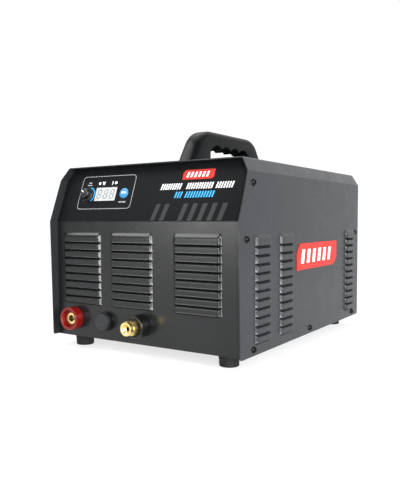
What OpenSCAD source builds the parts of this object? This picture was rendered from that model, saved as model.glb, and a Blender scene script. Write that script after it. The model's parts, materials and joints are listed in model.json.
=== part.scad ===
// Bench plasma cutter: sheet-metal case with louvred front and sides, connectors, controls, fan and inverter parts.
// +X is to the right as the user faces the front panel, -Y points out of the front panel, +Z is up.
// The origin is on the floor, at the middle of the whole object.

/* [Case] */
// Width of the case over the two side plates
case_w = 280; // [274:1:290]
// Depth of the case from front hood edge to rear edge
case_d = 375; // [370:1:390]
// Height of the case without feet and handle
case_h = 216.5; // [214:0.5:222]
// Thickness of the sheet metal
sheet_t = 1.2; // [1:0.1:1.5]
// Height of the crease in the front panel above the case bottom
crease_h = 147; // [146:1:149]
// How far the top front edge leans back from the crease
top_setback = 26; // [24:1:28]
// How far the bottom front edge steps back from the crease
toe_setback = 2.7; // [0:0.1:4]
// Width of the bevel along the two top edges
bevel_w = 10.3; // [9:0.1:12]
// Height of the bevel along the two top edges
bevel_h = 16.1; // [14:0.1:18]
// Depth of the panels behind the front and rear edges of the case
recess = 12; // [11:0.5:13]

/* [Louvres] */
// Vertical distance between louvres
louvre_pitch = 9.72; // [9.6:0.02:10]
// How far a louvre stands out of the sheet
louvre_out = 3.6; // [2.5:0.1:4]
// Height of one louvre
louvre_h = 7.6; // [7:0.1:8]
// Length of a front louvre
front_louvre_len = 67; // [60:1:67]
// Number of louvres in a front column
front_rows = 9; // [5:1:9]
// Length of a side louvre
side_louvre_len = 40; // [30:1:40]
// Number of louvres in a side column
side_rows = 12; // [6:1:12]

/* [Feet] */
// Height of a rubber foot
foot_h = 14; // [12:1:16]
// Diameter of a rubber foot
foot_d = 24; // [20:1:26]

/* [Handle] */
// Length of the handle at its base
handle_len = 208; // [200:1:212]
// Height of the handle above the case
handle_h = 52; // [50:1:56]
// Width of the handle
handle_w = 27; // [24:1:30]
// Length of the finger gap
gap_len = 98; // [92:1:100]
// Height of the finger gap below the teeth of the grip
gap_h = 28.5; // [26:0.5:30]
// Distance between finger grooves
finger_pitch = 24; // [22:1:24]

/* [Front connectors] */
// Outside diameter of the work lead socket
work_d = 29; // [28:0.5:30]
// Diameter of the bore that takes the work lead plug
work_bore_d = 9; // [9:0.1:9.4]
// Distance the torch connector stands out of the front panel
torch_out = 29.5; // [27:0.5:31]
// Diameter of the torch connector's round end
torch_d = 16; // [15.5:0.1:16.2]
// Diameter of the insulating collar behind the torch connector
collar_d = 27.5; // [26:0.5:29]
// Diameter of the trigger socket's cap
cap_d = 21; // [20:0.5:22]

/* [Controls] */
// Diameter of the current knob
knob_d = 15; // [14:0.5:16]
// Height of the current knob above the panel film
knob_h = 9; // [7:0.5:11]
// Angle of the knob's pointer from the top, towards the left
knob_rest_angle = 60; // [0:5:90]
// Diameter of the gas test button
button_d = 13.5; // [12:0.5:14]
// Width of the display window
window_w = 34.5; // [33:0.5:36]
// Height of the display window
window_h = 18; // [17:0.5:19]

/* [Fan] */
// Side of the square fan frame
fan_side = 120; // [119:1:120]
// Depth of the fan frame
fan_depth = 38; // [36:1:38]
// Number of fan blades
blade_count = 7; // [5:1:9]

/* [Hidden] */
$fn = 48;
e = 0.01;

// Places of the case
y_front = -case_d / 2;
y_rear = case_d / 2;
z_case = foot_h;
z_roof = z_case + case_h;
panel_y = y_front + recess;
rear_y = y_rear - recess;
floor_z = z_case + sheet_t;
in_x = case_w / 2 - sheet_t;
lean = atan2(top_setback, case_h - crease_h);
slope_len = (case_h - sheet_t - crease_h) / cos(lean);
flange = 14;
corner_r = 3;

// Louvre columns: left edges on the front panel, front edges on the side plates, and first slot heights
front_louvre_x = [-128.2, -47.9, 46.5];
side_louvre_y = [33.6, 94.4, 315.5];
front_slot_z = z_case + 120.9;
side_slot_z = z_case + 120.1;

// Cover screws on each side: distance behind the front edge, and height above the case bottom
cover_screw_at = [[31.6, 188.4], [16.7, 127.6], [32.5, 6.8], [187.5, 6.8], [349, 6.8], [360.3, 127.6]];
cover_screw_d = 4;
cover_head_d = 8;

// Feet
foot_x = 110;
foot_y = 157;
foot_screw_d = 5;

// Handle
handle_y = 16;
handle_lean = 33.7;
handle_r = 36;
groove_r = 20;
groove_rise = 4;
handle_screw_y = 75;
handle_screw_d = 6;
handle_plate_t = 3;

// Front connectors, all at one height
conn_z = z_case + 23.3;
work_x = -108.4;
control_x = -55.6;
torch_x = 0.5;
work_out = 13.5;
work_dish = 6.5;
work_neck_d = 22;
work_insert_d = 14;
work_back = 22;
collar_out = 15.8;
torch_af = 16;
torch_hex_len = 8;
torch_stem_d = 12;
torch_bore_d = 4.4;
torch_back = 30;
control_flange_d = 24.5;
control_barrel_d = 17;
control_out = 9.5;

// Controls on the leaning part of the panel: across, and up the slope from the crease
knob_at = [-94, 36];
button_lift = 1.3;
button_at = [-35, 35.2];
window_at = [-65.2, 36];
led_at = [[-79, 50.8], [-72, 50.8], [-57.5, 50.8], [-52, 50.8]];
led_d = 3;
film_t = 0.6;
board_gap = 14;
board_t = 1.6;
control_board_w = 104;
control_board_h = 46;
control_board_at = [-63, 36];
shaft_d = 6;

// Rear fittings
fan_x = -50;
fan_z = z_case + 86;
fan_bore = 115;
fan_hole_pitch = 105;
hub_d = 46;
rotor_gap = 1.5;
fan_back = rear_y - sheet_t;
fan_front = fan_back - fan_depth;
switch_at = [88, z_case + 160];
gland_at = [92, z_case + 96];
gland_bore_d = 10;
air_at = [92, z_case + 42];
earth_at = [45, z_case + 26];
earth_shank_d = 6.6;
earth_nut_out = 6.2;
rear_out = torch_out;

// Inner assembly
board_z = 90;
board_x = [-128, 52];
board_y = [-96, 112];
sink_x = [-80, 4];
sink_w = 74;
sink_len = 170;
sink_top = 78;
sink_y = 8;
valve_at = [98, 40];
board_top = board_z + board_t;
core_at = [-88, -36];
choke_at = [8, -30];
choke_z = board_top + 6;
valve_port_z = floor_z + 12;

// Output leads, and the routes of the hoses and mains leads
lead_d = 9;
lead_bend_r = 14;
lead_top_z = board_top + 14;
work_back_y = panel_y + work_back + 14;
torch_lug_y = panel_y + 13;
hose_rear_route = [
    [air_at[0], rear_y - 28, air_at[1]], [air_at[0], rear_y - 40, air_at[1]], [94, 110, 48], [97, 90, 34],
    [98, 80, valve_port_z], [98, valve_at[1] + 32, valve_port_z]
];
hose_front_route = [
    [98, valve_at[1] - 32, valve_port_z], [98, -6, valve_port_z], [96, -30, 28], [84, -70, 30], [56, -108, 34],
    [20, -128, 36], [torch_x, -134, conn_z], [torch_x, panel_y + torch_back, conn_z]
];
mains_in_route = [
    [92, rear_y - 15, gland_at[1]], [92, rear_y - 30, gland_at[1]], [92, 128, 124], [90, 126, 146],
    [88, rear_y - 40, switch_at[1]], [88, rear_y - 26.8, switch_at[1]]
];
mains_out_route = [
    [82, rear_y - 26.8, switch_at[1] + 8], [80, rear_y - 44, switch_at[1] + 8], [74, 108, 168], [60, 96, 140],
    [48, 92, 112], [44, 90, board_top]
];

// Points of an arc from angle a to angle b, for outlines with round corners
function arc(c, r, a, b, n = 8) = [for (i = [0:n]) c + r * [cos(a + (b - a) * i / n), sin(a + (b - a) * i / n)]];

// Place helpers: a profile drawn in (x, z) and extruded along Y, and one drawn in (y, z) extruded along X
module along_y(y0, y1) {
    translate([0, y1, 0]) rotate([90, 0, 0]) linear_extrude(y1 - y0) children();
}
module along_x(x0, x1) {
    translate([x0, 0, 0]) rotate([90, 0, 90]) linear_extrude(x1 - x0) children();
}
// A rod along Y from y0 to y1
module rod_y(d, y0, y1, n = 48) {
    translate([0, y1, 0]) rotate([90, 0, 0]) cylinder(d = d, h = y1 - y0, $fn = n);
}
// A hexagon rod along Y, with corners to the left and right
module hex_y(af, y0, y1) {
    translate([0, y1, 0]) rotate([90, 0, 0]) cylinder(d = af / cos(30), h = y1 - y0, $fn = 6);
}
// The frame of the leaning part of the panel: X across, Y up the slope, Z out of the panel's face
module on_slope(at = [0, 0]) {
    translate([0, panel_y, z_case + crease_h]) rotate([90 - lean, 0, 0]) translate([at[0], at[1], 0]) children();
}
module box_on(w, h, z0, z1) {
    translate([-w / 2, -h / 2, z0]) cube([w, h, z1 - z0]);
}
// Both sides of the case
module both_sides() {
    children();
    mirror([1, 0, 0]) children();
}

// Outline of the case across its width, inset by a sheet thickness or a gap
module case_section(inset, drop) {
    half = case_w / 2 - inset;
    turn = atan(bevel_w / bevel_h);
    low = z_roof - bevel_h - inset * tan(turn / 2);
    high = z_roof - inset;
    in_w = case_w / 2 - bevel_w - inset * tan((90 - turn) / 2);
    polygon([[-half, z_case - drop], [-half, low], [-in_w, high], [in_w, high], [half, low], [half, z_case - drop]]);
}
// Outline of the case from the side, with the leaning front edge and rounded bottom corners
module case_side() {
    front_foot = arc([y_front + toe_setback + corner_r, z_case + corner_r], corner_r, 270, 180);
    rear_foot = arc([y_rear - corner_r, z_case + corner_r], corner_r, 0, -90);
    polygon(concat(front_foot, [[y_front, z_case + crease_h], [y_front + top_setback, z_roof], [y_rear, z_roof]],
        rear_foot));
}
// Hood of one louvre, drawn in (distance out of the sheet, height above the slot)
function hood(inset) = [
    [-inset * 2, -e * inset], [louvre_out - inset, -e * inset], [louvre_out - 0.5 - inset, louvre_h * 0.55 - inset / 2],
    [-e, louvre_h - inset], [-inset * 2, louvre_h - inset]
];
// A column of louvre hoods or of the hollows inside them, facing +Y of its own frame, with its length along X
module louvre_column(len, rows, inset) {
    for (i = [0:rows - 1])
        translate([inset, 0, -i * louvre_pitch])
            rotate([90, 0, 90]) linear_extrude(len - 2 * inset) polygon(hood(inset));
}
// All louvre columns of the right side plate
module side_louvres(inset) {
    for (y = side_louvre_y)
        translate([case_w / 2, y_front + y + side_louvre_len, side_slot_z]) rotate([0, 0, -90])
            louvre_column(side_louvre_len, side_rows, inset);
}
// All louvre columns of the front panel
module front_louvres(inset) {
    for (x = front_louvre_x)
        translate([x + front_louvre_len, panel_y, front_slot_z]) rotate([0, 0, 180])
            louvre_column(front_louvre_len, front_rows, inset);
}
// Holes or shanks at the cover screw positions of the right side
module at_cover_screws() {
    for (p = cover_screw_at)
        translate([case_w / 2, y_front + p[0], z_case + p[1]]) rotate([0, 90, 0]) children();
}

module wrap_cover() color("#5d6164") {
    difference() {
        union() {
            intersection() {
                difference() {
                    along_y(y_front, y_rear) case_section(0, 0);
                    along_y(y_front - 1, y_rear + 1) case_section(sheet_t, 1);
                }
                along_x(-case_w, case_w) case_side();
            }
            both_sides() side_louvres(0);
        }
        both_sides() side_louvres(0.9);
        both_sides() at_cover_screws() translate([0, 0, -7]) cylinder(d = cover_screw_d, h = 12, $fn = 24);
        for (s = [-1, 1])
            translate([0, handle_y + s * handle_screw_y, z_roof - 5]) cylinder(d = handle_screw_d, h = 10, $fn = 24);
    }
}

// Profile of the front sheet in (y, z): a thickness of metal with its outer face at distance off from the panel face
module bent_profile(off, t) {
    top = case_h - sheet_t;
    run = (top - crease_h) * tan(lean);
    y0 = panel_y + off;
    y1 = y0 + t;
    step0 = off * tan(lean / 2);
    step1 = (off + t) * tan(lean / 2);
    polygon([
        [y0, z_case], [y0, z_case + crease_h - step0], [panel_y + run + off / cos(lean), z_case + top],
        [panel_y + run + (off + t) / cos(lean), z_case + top], [y1, z_case + crease_h - step1], [y1, z_case]
    ]);
}
module front_panel() color("#4b4e50") {
    difference() {
        union() {
            intersection() {
                along_x(-in_x, in_x) bent_profile(0, sheet_t);
                along_y(y_front, y_rear) case_section(sheet_t, 0);
            }
            both_sides() intersection() {
                along_x(in_x - sheet_t, in_x) bent_profile(sheet_t, flange);
                translate([0, y_front, z_case + 20]) cube([case_w, case_d / 2, case_h - 20 - bevel_h - 4]);
            }
            translate([-in_x + 2 * sheet_t, panel_y, floor_z]) cube([2 * in_x - 4 * sheet_t, flange, sheet_t]);
            front_louvres(0);
        }
        front_louvres(0.9);
        for (p = [[work_x, work_neck_d], [control_x, control_barrel_d], [torch_x, torch_stem_d + 6]])
            translate([p[0], 0, conn_z]) rod_y(p[1], panel_y - 5, panel_y + 5);
        on_slope(knob_at) translate([0, 0, -4]) cylinder(d = shaft_d + 2, h = 8);
        on_slope(button_at) translate([0, 0, -4]) cylinder(d = button_d - 4, h = 8);
        on_slope(window_at) box_on(window_w, window_h, -4, 4);
        for (p = led_at) on_slope(p) translate([0, 0, -4]) cylinder(d = led_d, h = 8, $fn = 24);
        both_sides() at_cover_screws() translate([0, 0, -7]) cylinder(d = cover_screw_d, h = 12, $fn = 24);
    }
}
module panel_overlay() color("#1c1d1f") {
    rim = 0.6;
    difference() {
        intersection() {
            on_slope([0, slope_len / 2 + 0.5]) box_on(2 * (in_x - rim), slope_len - 1.5, 0, film_t);
            along_y(y_front, y_rear) case_section(sheet_t + rim, 0);
        }
        on_slope(knob_at) translate([0, 0, -4]) cylinder(d = shaft_d + 2, h = 8);
        on_slope(button_at) translate([0, 0, -4]) cylinder(d = button_d + 0.6, h = 8);
        on_slope(window_at) box_on(window_w, window_h, -4, 4);
        for (p = led_at) on_slope(p) translate([0, 0, -4]) cylinder(d = led_d, h = 8, $fn = 24);
    }
}
module rear_panel() color("#4b4e50") {
    difference() {
        union() {
            intersection() {
                along_y(rear_y - sheet_t, rear_y) case_section(sheet_t, 0);
                translate([-in_x, y_front, z_case]) cube([2 * in_x, case_d, case_h - sheet_t]);
            }
            both_sides() translate([in_x - sheet_t, rear_y - flange, z_case + 20])
                cube([sheet_t, flange, case_h - 20 - bevel_h - 4]);
            translate([-in_x + 2 * sheet_t, rear_y - flange, floor_z]) cube([2 * in_x - 4 * sheet_t, flange, sheet_t]);
        }
        translate([fan_x, 0, fan_z]) rod_y(fan_bore, rear_y - 5, rear_y + 5, 96);
        at_fan_corners() rod_y(4, rear_y - 5, rear_y + 5, 24);
        translate([switch_at[0], rear_y, switch_at[1]]) cube([22, 20, 30], center = true);
        translate([gland_at[0], 0, gland_at[1]]) rod_y(20, rear_y - 5, rear_y + 5);
        translate([air_at[0], 0, air_at[1]]) rod_y(13, rear_y - 5, rear_y + 5);
        translate([earth_at[0], 0, earth_at[1]]) rod_y(earth_shank_d, rear_y - 5, rear_y + 5, 32);
        both_sides() at_cover_screws() translate([0, 0, -7]) cylinder(d = cover_screw_d, h = 12, $fn = 24);
    }
}
module base_pan() color("#6b6f72") {
    y0 = panel_y + sheet_t;
    y1 = rear_y - sheet_t;
    difference() {
        union() {
            translate([-in_x, y0, z_case]) cube([2 * in_x, y1 - y0, sheet_t]);
            both_sides() translate([in_x - sheet_t, y0, z_case]) cube([sheet_t, y1 - y0, flange + 2]);
        }
        at_feet() translate([0, 0, z_case - 5]) cylinder(d = foot_screw_d, h = 10, $fn = 24);
        both_sides() at_cover_screws() translate([0, 0, -7]) cylinder(d = cover_screw_d, h = 12, $fn = 24);
    }
}
module at_feet() {
    for (x = [-foot_x, foot_x])
        for (y = [-foot_y, foot_y]) translate([x, y, 0]) children();
}
module rubber_feet() color("#2b2c2d") {
    at_feet() difference() {
        union() {
            cylinder(d1 = foot_d - 3, d2 = foot_d - 0.6, h = 1.2);
            translate([0, 0, 1.2]) cylinder(d1 = foot_d - 0.6, d2 = foot_d, h = foot_h - 1.2);
        }
        translate([0, 0, -1]) cylinder(d = 11, h = 6);
        translate([0, 0, -1]) cylinder(d = foot_screw_d, h = foot_h + 2, $fn = 24);
    }
}
module foot_screws() color("#b9bcbd") {
    at_feet() {
        translate([0, 0, 2.6]) cylinder(d = 9, h = 2.4, $fn = 32);
        translate([0, 0, 5]) cylinder(d = foot_screw_d, h = foot_h - 5 + 7, $fn = 24);
        translate([0, 0, floor_z]) cylinder(d = 8 / cos(30), h = 4, $fn = 6);
    }
}
module cover_screws() color("#17181a") {
    both_sides() at_cover_screws() difference() {
        union() {
            cylinder(d = cover_head_d, h = 1.5, $fn = 32);
            translate([0, 0, 1.5]) cylinder(d1 = cover_head_d, d2 = 5, h = 1.1, $fn = 32);
            translate([0, 0, -6]) cylinder(d = cover_screw_d, h = 6, $fn = 24);
        }
        for (a = [0, 90]) rotate([0, 0, a]) translate([-2.2, -0.5, 1.2]) cube([4.4, 1, 3]);
    }
}

// Side outline of the handle in (distance along Y, height above the roof)
module handle_outline() {
    corner = handle_len / 2 - handle_h * tan(handle_lean);
    turn = 90 - handle_lean;
    top = corner - handle_r * tan(turn / 2);
    bend = arc([top, handle_h - handle_r], handle_r, 90 - turn, 90, 10);
    half = concat([[handle_len / 2, 0]], bend);
    mirrored = [for (i = [len(half) - 1:-1:0]) [-half[i][0], half[i][1]]];
    polygon(concat(half, mirrored));
}
module handle() color("#1f2022") {
    translate([0, handle_y, z_roof]) difference() {
        along_x(-handle_w / 2, handle_w / 2) handle_outline();
        translate([-handle_w, -gap_len / 2, -1]) cube([2 * handle_w, gap_len, gap_h + 1]);
        intersection() {
            for (i = [-1.5:1:1.5])
                translate([-handle_w, i * finger_pitch, gap_h + groove_rise - groove_r])
                    rotate([0, 90, 0]) cylinder(r = groove_r, h = 2 * handle_w);
            translate([-handle_w, -gap_len / 2, gap_h - 1]) cube([2 * handle_w, gap_len, 10]);
        }
        for (s = [-1, 1])
            translate([0, s * handle_screw_y, -1]) cylinder(d = handle_screw_d, h = 21, $fn = 24);
    }
}
module handle_plate() color("#8d9092") {
    difference() {
        translate([-25, handle_y - 100, z_roof - sheet_t - handle_plate_t]) cube([50, 200, handle_plate_t]);
        for (s = [-1, 1])
            translate([0, handle_y + s * handle_screw_y, z_roof - 10]) cylinder(d = handle_screw_d, h = 12, $fn = 24);
    }
}
module handle_screws() color("#b9bcbd") {
    seat = z_roof - sheet_t - handle_plate_t;
    for (s = [-1, 1]) translate([0, handle_y + s * handle_screw_y, 0]) {
        translate([0, 0, seat - 4]) cylinder(d = 11 / cos(30), h = 4, $fn = 6);
        translate([0, 0, seat]) cylinder(d = handle_screw_d, h = z_roof - seat + 18, $fn = 24);
    }
}

// Plain badge outline: a rectangle with two opposite corners cut off
module badge(w, h, cut) {
    polygon([[0, 0], [w - cut * 1.5, 0], [w, cut], [w, h], [cut, h], [0, h - cut * 1.2]]);
}
module side_badges() color("#e8433c") {
    both_sides() along_x(case_w / 2, case_w / 2 + 0.8)
        translate([y_front + 144, z_case + 84.8]) badge(136, 33.4, 9);
}
module front_badge() color("#e8433c") {
    on_slope([49, 50.3]) translate([0, 0, film_t]) linear_extrude(0.6) badge(42.5, 12, 2.5);
}

// Work lead socket: red dish, brass insert with a key slot, and a nut behind the panel
module at_work() { translate([work_x, 0, conn_z]) children(); }
module work_socket_body() color("#a8201c") {
    front = panel_y - work_out;
    at_work() difference() {
        union() {
            rod_y(work_d, front, panel_y, 96);
            rod_y(work_neck_d, panel_y, panel_y + work_back - 4);
        }
        rod_y(work_d - 4.4, front - 1, front + work_dish);
        rod_y(work_insert_d, front + work_dish - 1, panel_y + work_back);
    }
}
module work_socket_insert() color("#c9a24b") {
    front = panel_y - work_out + work_dish - 0.8;
    back = panel_y + work_back;
    at_work() difference() {
        union() {
            rod_y(work_insert_d, front, back - 4);
            hex_y(17, back - 4, back + 4);
            rod_y(8, back + 4, back + 14);
        }
        rod_y(work_bore_d, front - 1, back - 2);
        translate([work_bore_d / 2 - 1, front - 1, -1.6]) cube([2.6, back - 4 - front, 3.2]);
    }
}
module work_socket_nut() color("#8f1b18") {
    at_work() difference() {
        hex_y(28, panel_y + sheet_t, panel_y + sheet_t + 6);
        rod_y(work_neck_d, panel_y, panel_y + 10);
    }
}

// Torch connector: brass body with hexagon and conical gas seat, in a round insulating collar
module at_torch() { translate([torch_x, 0, conn_z]) children(); }
module torch_collar() color("#161718") {
    at_torch() difference() {
        union() {
            rod_y(collar_d, panel_y - collar_out, panel_y, 96);
            rod_y(torch_stem_d + 6, panel_y, panel_y + sheet_t + 3);
        }
        rod_y(torch_stem_d, panel_y - collar_out - 1, panel_y + 12);
    }
}
module torch_connector() color("#c9a24b") {
    tip = panel_y - torch_out;
    hex_front = panel_y - collar_out - torch_hex_len;
    back = panel_y + torch_back;
    at_torch() difference() {
        union() {
            rod_y(torch_d, tip, hex_front, 96);
            hex_y(torch_af, hex_front, panel_y - collar_out);
            rod_y(torch_stem_d, panel_y - collar_out, back - 12);
            rod_y(7, back - 12, back);
        }
        rod_y(torch_bore_d, tip - 1, back + 1);
        translate([0, tip + 4, 0]) rotate([90, 0, 0]) cylinder(d1 = torch_bore_d, d2 = 12, h = 4 + e);
    }
}
module torch_connector_nut() color("#b8913f") {
    seat = panel_y + sheet_t + 3;
    at_torch() difference() {
        union() {
            rod_y(24, seat, seat + 1.5);
            hex_y(19, seat + 1.5, seat + 8.5);
        }
        rod_y(torch_stem_d, seat - 1, seat + 10);
    }
}

// Trigger socket with a pull-off cap
module at_control() { translate([control_x, 0, conn_z]) children(); }
module control_socket() color("#1d1e20") {
    at_control() difference() {
        union() {
            rod_y(control_flange_d, panel_y - 3, panel_y, 64);
            rod_y(control_barrel_d, panel_y - 8, panel_y + 14);
        }
        rod_y(control_barrel_d - 3, panel_y - 9, panel_y - 1);
        for (s = [-1, 1]) translate([s * 3.5, 0, 0]) rod_y(2, panel_y - 2, panel_y + 16, 24);
    }
}
module control_socket_pins() color("#c9a24b") {
    at_control() for (s = [-1, 1]) translate([s * 3.5, 0, 0]) rod_y(2, panel_y - 6, panel_y + 20, 24);
}
module control_socket_nut() color("#b9bcbd") {
    at_control() difference() {
        hex_y(22, panel_y + sheet_t, panel_y + sheet_t + 3);
        rod_y(control_barrel_d, panel_y, panel_y + 10);
    }
}
module control_socket_cap() color("#3c3e40") {
    front = panel_y - control_out;
    at_control() difference() {
        rod_y(cap_d, front, panel_y - 3.3, 64);
        rod_y(control_barrel_d + 0.1, front + 1.4, panel_y);
    }
}

// Controls on the leaning panel, each drawn on the outer face of the sheet
module current_knob() color("#141516") {
    on_slope(knob_at) rotate([0, 0, knob_rest_angle]) translate([0, 0, film_t + 0.4]) difference() {
        union() {
            cylinder(d = knob_d, h = 1.5, $fn = 64);
            translate([0, 0, 1.5]) cylinder(d1 = knob_d - 1, d2 = knob_d - 2.4, h = knob_h - 2.1, $fn = 64);
            translate([0, 0, knob_h - 0.6]) cylinder(d1 = knob_d - 2.4, d2 = knob_d - 3.6, h = 0.6, $fn = 64);
        }
        translate([0, 0, -1]) cylinder(d = shaft_d, h = knob_h - 1.5);
        translate([-0.5, 1, knob_h - 0.4]) cube([1, knob_d, 2]);
    }
}
module pot_shaft() color("#b9bcbd") {
    on_slope(knob_at) translate([0, 0, -board_gap + 4]) cylinder(d = shaft_d, h = board_gap - 4 + knob_h - 2);
}
module potentiometer() color("#3a5a7a") {
    on_slope(knob_at) difference() {
        union() {
            box_on(16, 17, -board_gap, -board_gap + 8);
            translate([0, 0, -board_gap + 8]) cylinder(d = 7.4, h = 4);
        }
        translate([0, 0, -board_gap + 3.5]) cylinder(d = shaft_d + 0.1, h = 14);
    }
}
module test_button() color("#3f87ab") {
    on_slope(button_at) {
        translate([0, 0, button_lift]) cylinder(d = button_d, h = 1.6, $fn = 64);
        translate([0, 0, button_lift + 1.6]) cylinder(d1 = button_d, d2 = button_d - 1.4, h = 0.6, $fn = 64);
        translate([0, 0, -sheet_t - 2]) cylinder(d = button_d - 5, h = sheet_t + 2 + button_lift);
        translate([0, 0, -board_gap + 5]) cylinder(d = 3.5, h = board_gap - 5 - sheet_t - 2);
    }
}
module button_switch() color("#26282a") {
    on_slope(button_at) difference() {
        box_on(12, 12, -board_gap, -board_gap + 7);
        translate([0, 0, -board_gap + 3]) cylinder(d = 4, h = 8);
    }
}
module display_window() color("#d9dcdc") {
    on_slope(window_at) box_on(window_w, window_h, -sheet_t, film_t + 0.2);
}
module display_module() color("#e4e4e0") {
    on_slope(window_at) box_on(window_w + 3, window_h + 1, -board_gap, -sheet_t - 0.4);
}
module indicator_leds() color("#dfe3e4") {
    for (p = led_at) on_slope(p) {
        translate([0, 0, -board_gap]) cylinder(d = led_d, h = board_gap + film_t, $fn = 24);
        translate([0, 0, film_t]) sphere(d = led_d - 0.2, $fn = 24);
    }
}
module control_board() color("#1f5a3a") {
    on_slope(control_board_at) box_on(control_board_w, control_board_h, -board_gap - board_t, -board_gap);
}
module control_board_posts() color("#c9cccd") {
    for (x = [-1, 1])
        for (y = [-1, 1])
            on_slope(control_board_at + [x * (control_board_w / 2 - 4), y * (control_board_h / 2 - 4)])
                translate([0, 0, -board_gap]) cylinder(d = 5.5, h = board_gap - sheet_t, $fn = 6);
}

// Fan behind the rear panel
module at_fan() { translate([fan_x, 0, fan_z]) children(); }
module at_fan_corners() {
    for (x = [-1, 1])
        for (z = [-1, 1])
            translate([fan_x + x * fan_hole_pitch / 2, 0, fan_z + z * fan_hole_pitch / 2]) children();
}
module fan_frame() color("#1b1c1d") {
    half = fan_side / 2;
    r = 6;
    outline = concat(arc([half - r, half - r], r, 0, 90, 4), arc([r - half, half - r], r, 90, 180, 4),
        arc([r - half, r - half], r, 180, 270, 4), arc([half - r, r - half], r, 270, 360, 4));
    difference() {
        at_fan() union() {
            difference() {
                along_y(fan_front, fan_back) polygon(outline);
                rod_y(fan_bore, fan_front - 1, fan_back + 1, 96);
            }
            for (a = [30, 150, 270])
                rotate([0, a, 0]) translate([0, fan_front, -2.5]) cube([fan_bore / 2 + 1, 4, 5]);
            rod_y(hub_d, fan_front, fan_front + 4);
        }
        at_fan() rod_y(5.1, fan_front - 1, fan_front + 5, 24);
        at_fan_corners() rod_y(4, fan_front - 1, fan_back + 1, 24);
    }
}
module fan_rotor() color("#232425") {
    y0 = fan_front + 5;
    y1 = fan_back - 4;
    at_fan() {
        rod_y(hub_d - 2, y0, y1, 64);
        rod_y(5, fan_front, y0 + 1, 24);
        intersection() {
            difference() {
                rod_y(fan_bore - 2 * rotor_gap, y0, y1, 96);
                rod_y(hub_d - 6, y0 - 1, y1 + 1, 64);
            }
            for (i = [0:blade_count - 1])
                rotate([0, i * 360 / blade_count, 0]) translate([0, (y0 + y1) / 2, 0]) rotate([40, 0, 0])
                    translate([0, -1, -17]) cube([fan_bore / 2, 2, 34]);
        }
    }
}
module fan_grille() color("#a9adaf") {
    wire = 2.6;
    seat = rear_y;
    at_fan() {
        for (i = [0:4])
            translate([0, seat + wire * 1.3, 0]) rotate([90, 0, 0])
                rotate_extrude($fn = 96) translate([12 + i * 11, 0]) circle(d = wire, $fn = 16);
        for (i = [0:3])
            rotate([0, 45 + i * 90, 0]) translate([0, seat + wire / 2, 0]) rotate([0, 90, 0])
                translate([0, 0, 11]) cylinder(d = wire, h = fan_hole_pitch / sqrt(2) - 15, $fn = 16);
    }
    at_fan_corners() difference() {
        rod_y(9, seat, seat + wire, 32);
        rod_y(4, seat - 1, seat + 5, 24);
    }
}
module fan_screws() color("#17181a") {
    at_fan_corners() {
        rod_y(4, rear_y - 14, rear_y + 2.6, 24);
        rod_y(8, rear_y + 2.6, rear_y + 4.4, 32);
        translate([0, rear_y + 4.4, 0]) rotate([-90, 0, 0]) cylinder(d1 = 8, d2 = 5, h = 1, $fn = 32);
    }
}

// Mains switch
module at_switch() { translate([switch_at[0], rear_y, switch_at[1]]) children(); }
module power_switch_body() color("#17181a") {
    at_switch() difference() {
        union() {
            translate([-13.5, 0, -17.5]) cube([27, 2.5, 35]);
            translate([-11, -26, -15]) cube([22, 27, 30]);
        }
        translate([-8.2, -10.5, -12.6]) cube([16.4, 20, 25.2]);
        translate([-9, -3.5, 0]) rotate([0, 90, 0]) cylinder(d = 3.1, h = 18, $fn = 24);
    }
}
module power_rocker() color("#8e1f1c") {
    at_switch() translate([0, -3.5, 0]) rotate([10, 0, 0]) {
        translate([-7.6, 0, 0]) difference() {
            rotate([0, 90, 0]) cylinder(r = 12, h = 15.2, $fn = 64);
            translate([-1, -30, -20]) cube([20, 30 - 3.5, 40]);
            translate([7.6, 17.5, 0]) rotate([0, 90, 0]) translate([0, 0, -10]) cylinder(r = 12, h = 20, $fn = 64);
        }
        translate([-8.8, 0, 0]) rotate([0, 90, 0]) cylinder(d = 3, h = 17.6, $fn = 24);
    }
}

// Cable gland, air inlet and earth stud
module at_gland() { translate([gland_at[0], 0, gland_at[1]]) children(); }
module cable_gland() color("#222325") {
    at_gland() difference() {
        union() {
            rod_y(20, rear_y - 12, rear_y + 20);
            hex_y(27, rear_y, rear_y + 6);
        }
        rod_y(gland_bore_d, rear_y - 13, rear_y + 21);
    }
}
module gland_cap() color("#222325") {
    at_gland() difference() {
        union() {
            hex_y(27, rear_y + 7, rear_y + 17);
            translate([0, rear_y + 17, 0]) rotate([-90, 0, 0]) cylinder(d1 = 26, d2 = 18, h = rear_out - 17);
        }
        rod_y(20, rear_y + 6, rear_y + 20);
        rod_y(gland_bore_d, rear_y + 6, rear_y + rear_out + 1);
    }
}
module gland_locknut() color("#222325") {
    at_gland() difference() {
        hex_y(27, rear_y - sheet_t - 5, rear_y - sheet_t);
        rod_y(20, rear_y - 20, rear_y);
    }
}
module at_air() { translate([air_at[0], 0, air_at[1]]) children(); }
module air_inlet() color("#c9a24b") {
    at_air() difference() {
        union() {
            rod_y(13, rear_y - 14, rear_y);
            hex_y(17, rear_y, rear_y + 8);
            rod_y(13, rear_y + 8, rear_y + 22);
            rod_y(7, rear_y - 28, rear_y - 14);
        }
        rod_y(5, rear_y - 29, rear_y + 23);
    }
}
module air_inlet_nut() color("#b8913f") {
    at_air() difference() {
        hex_y(19, rear_y - sheet_t - 5, rear_y - sheet_t);
        rod_y(13, rear_y - 20, rear_y);
    }
}
module at_earth() { translate([earth_at[0], 0, earth_at[1]]) children(); }
module earth_stud() color("#b9bcbd") {
    at_earth() {
        rod_y(earth_shank_d, rear_y - sheet_t, rear_y + earth_nut_out, 32);
        rod_y(6, rear_y + earth_nut_out, rear_y + 18, 32);
        hex_y(10, rear_y - sheet_t - 4, rear_y - sheet_t);
    }
}
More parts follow.
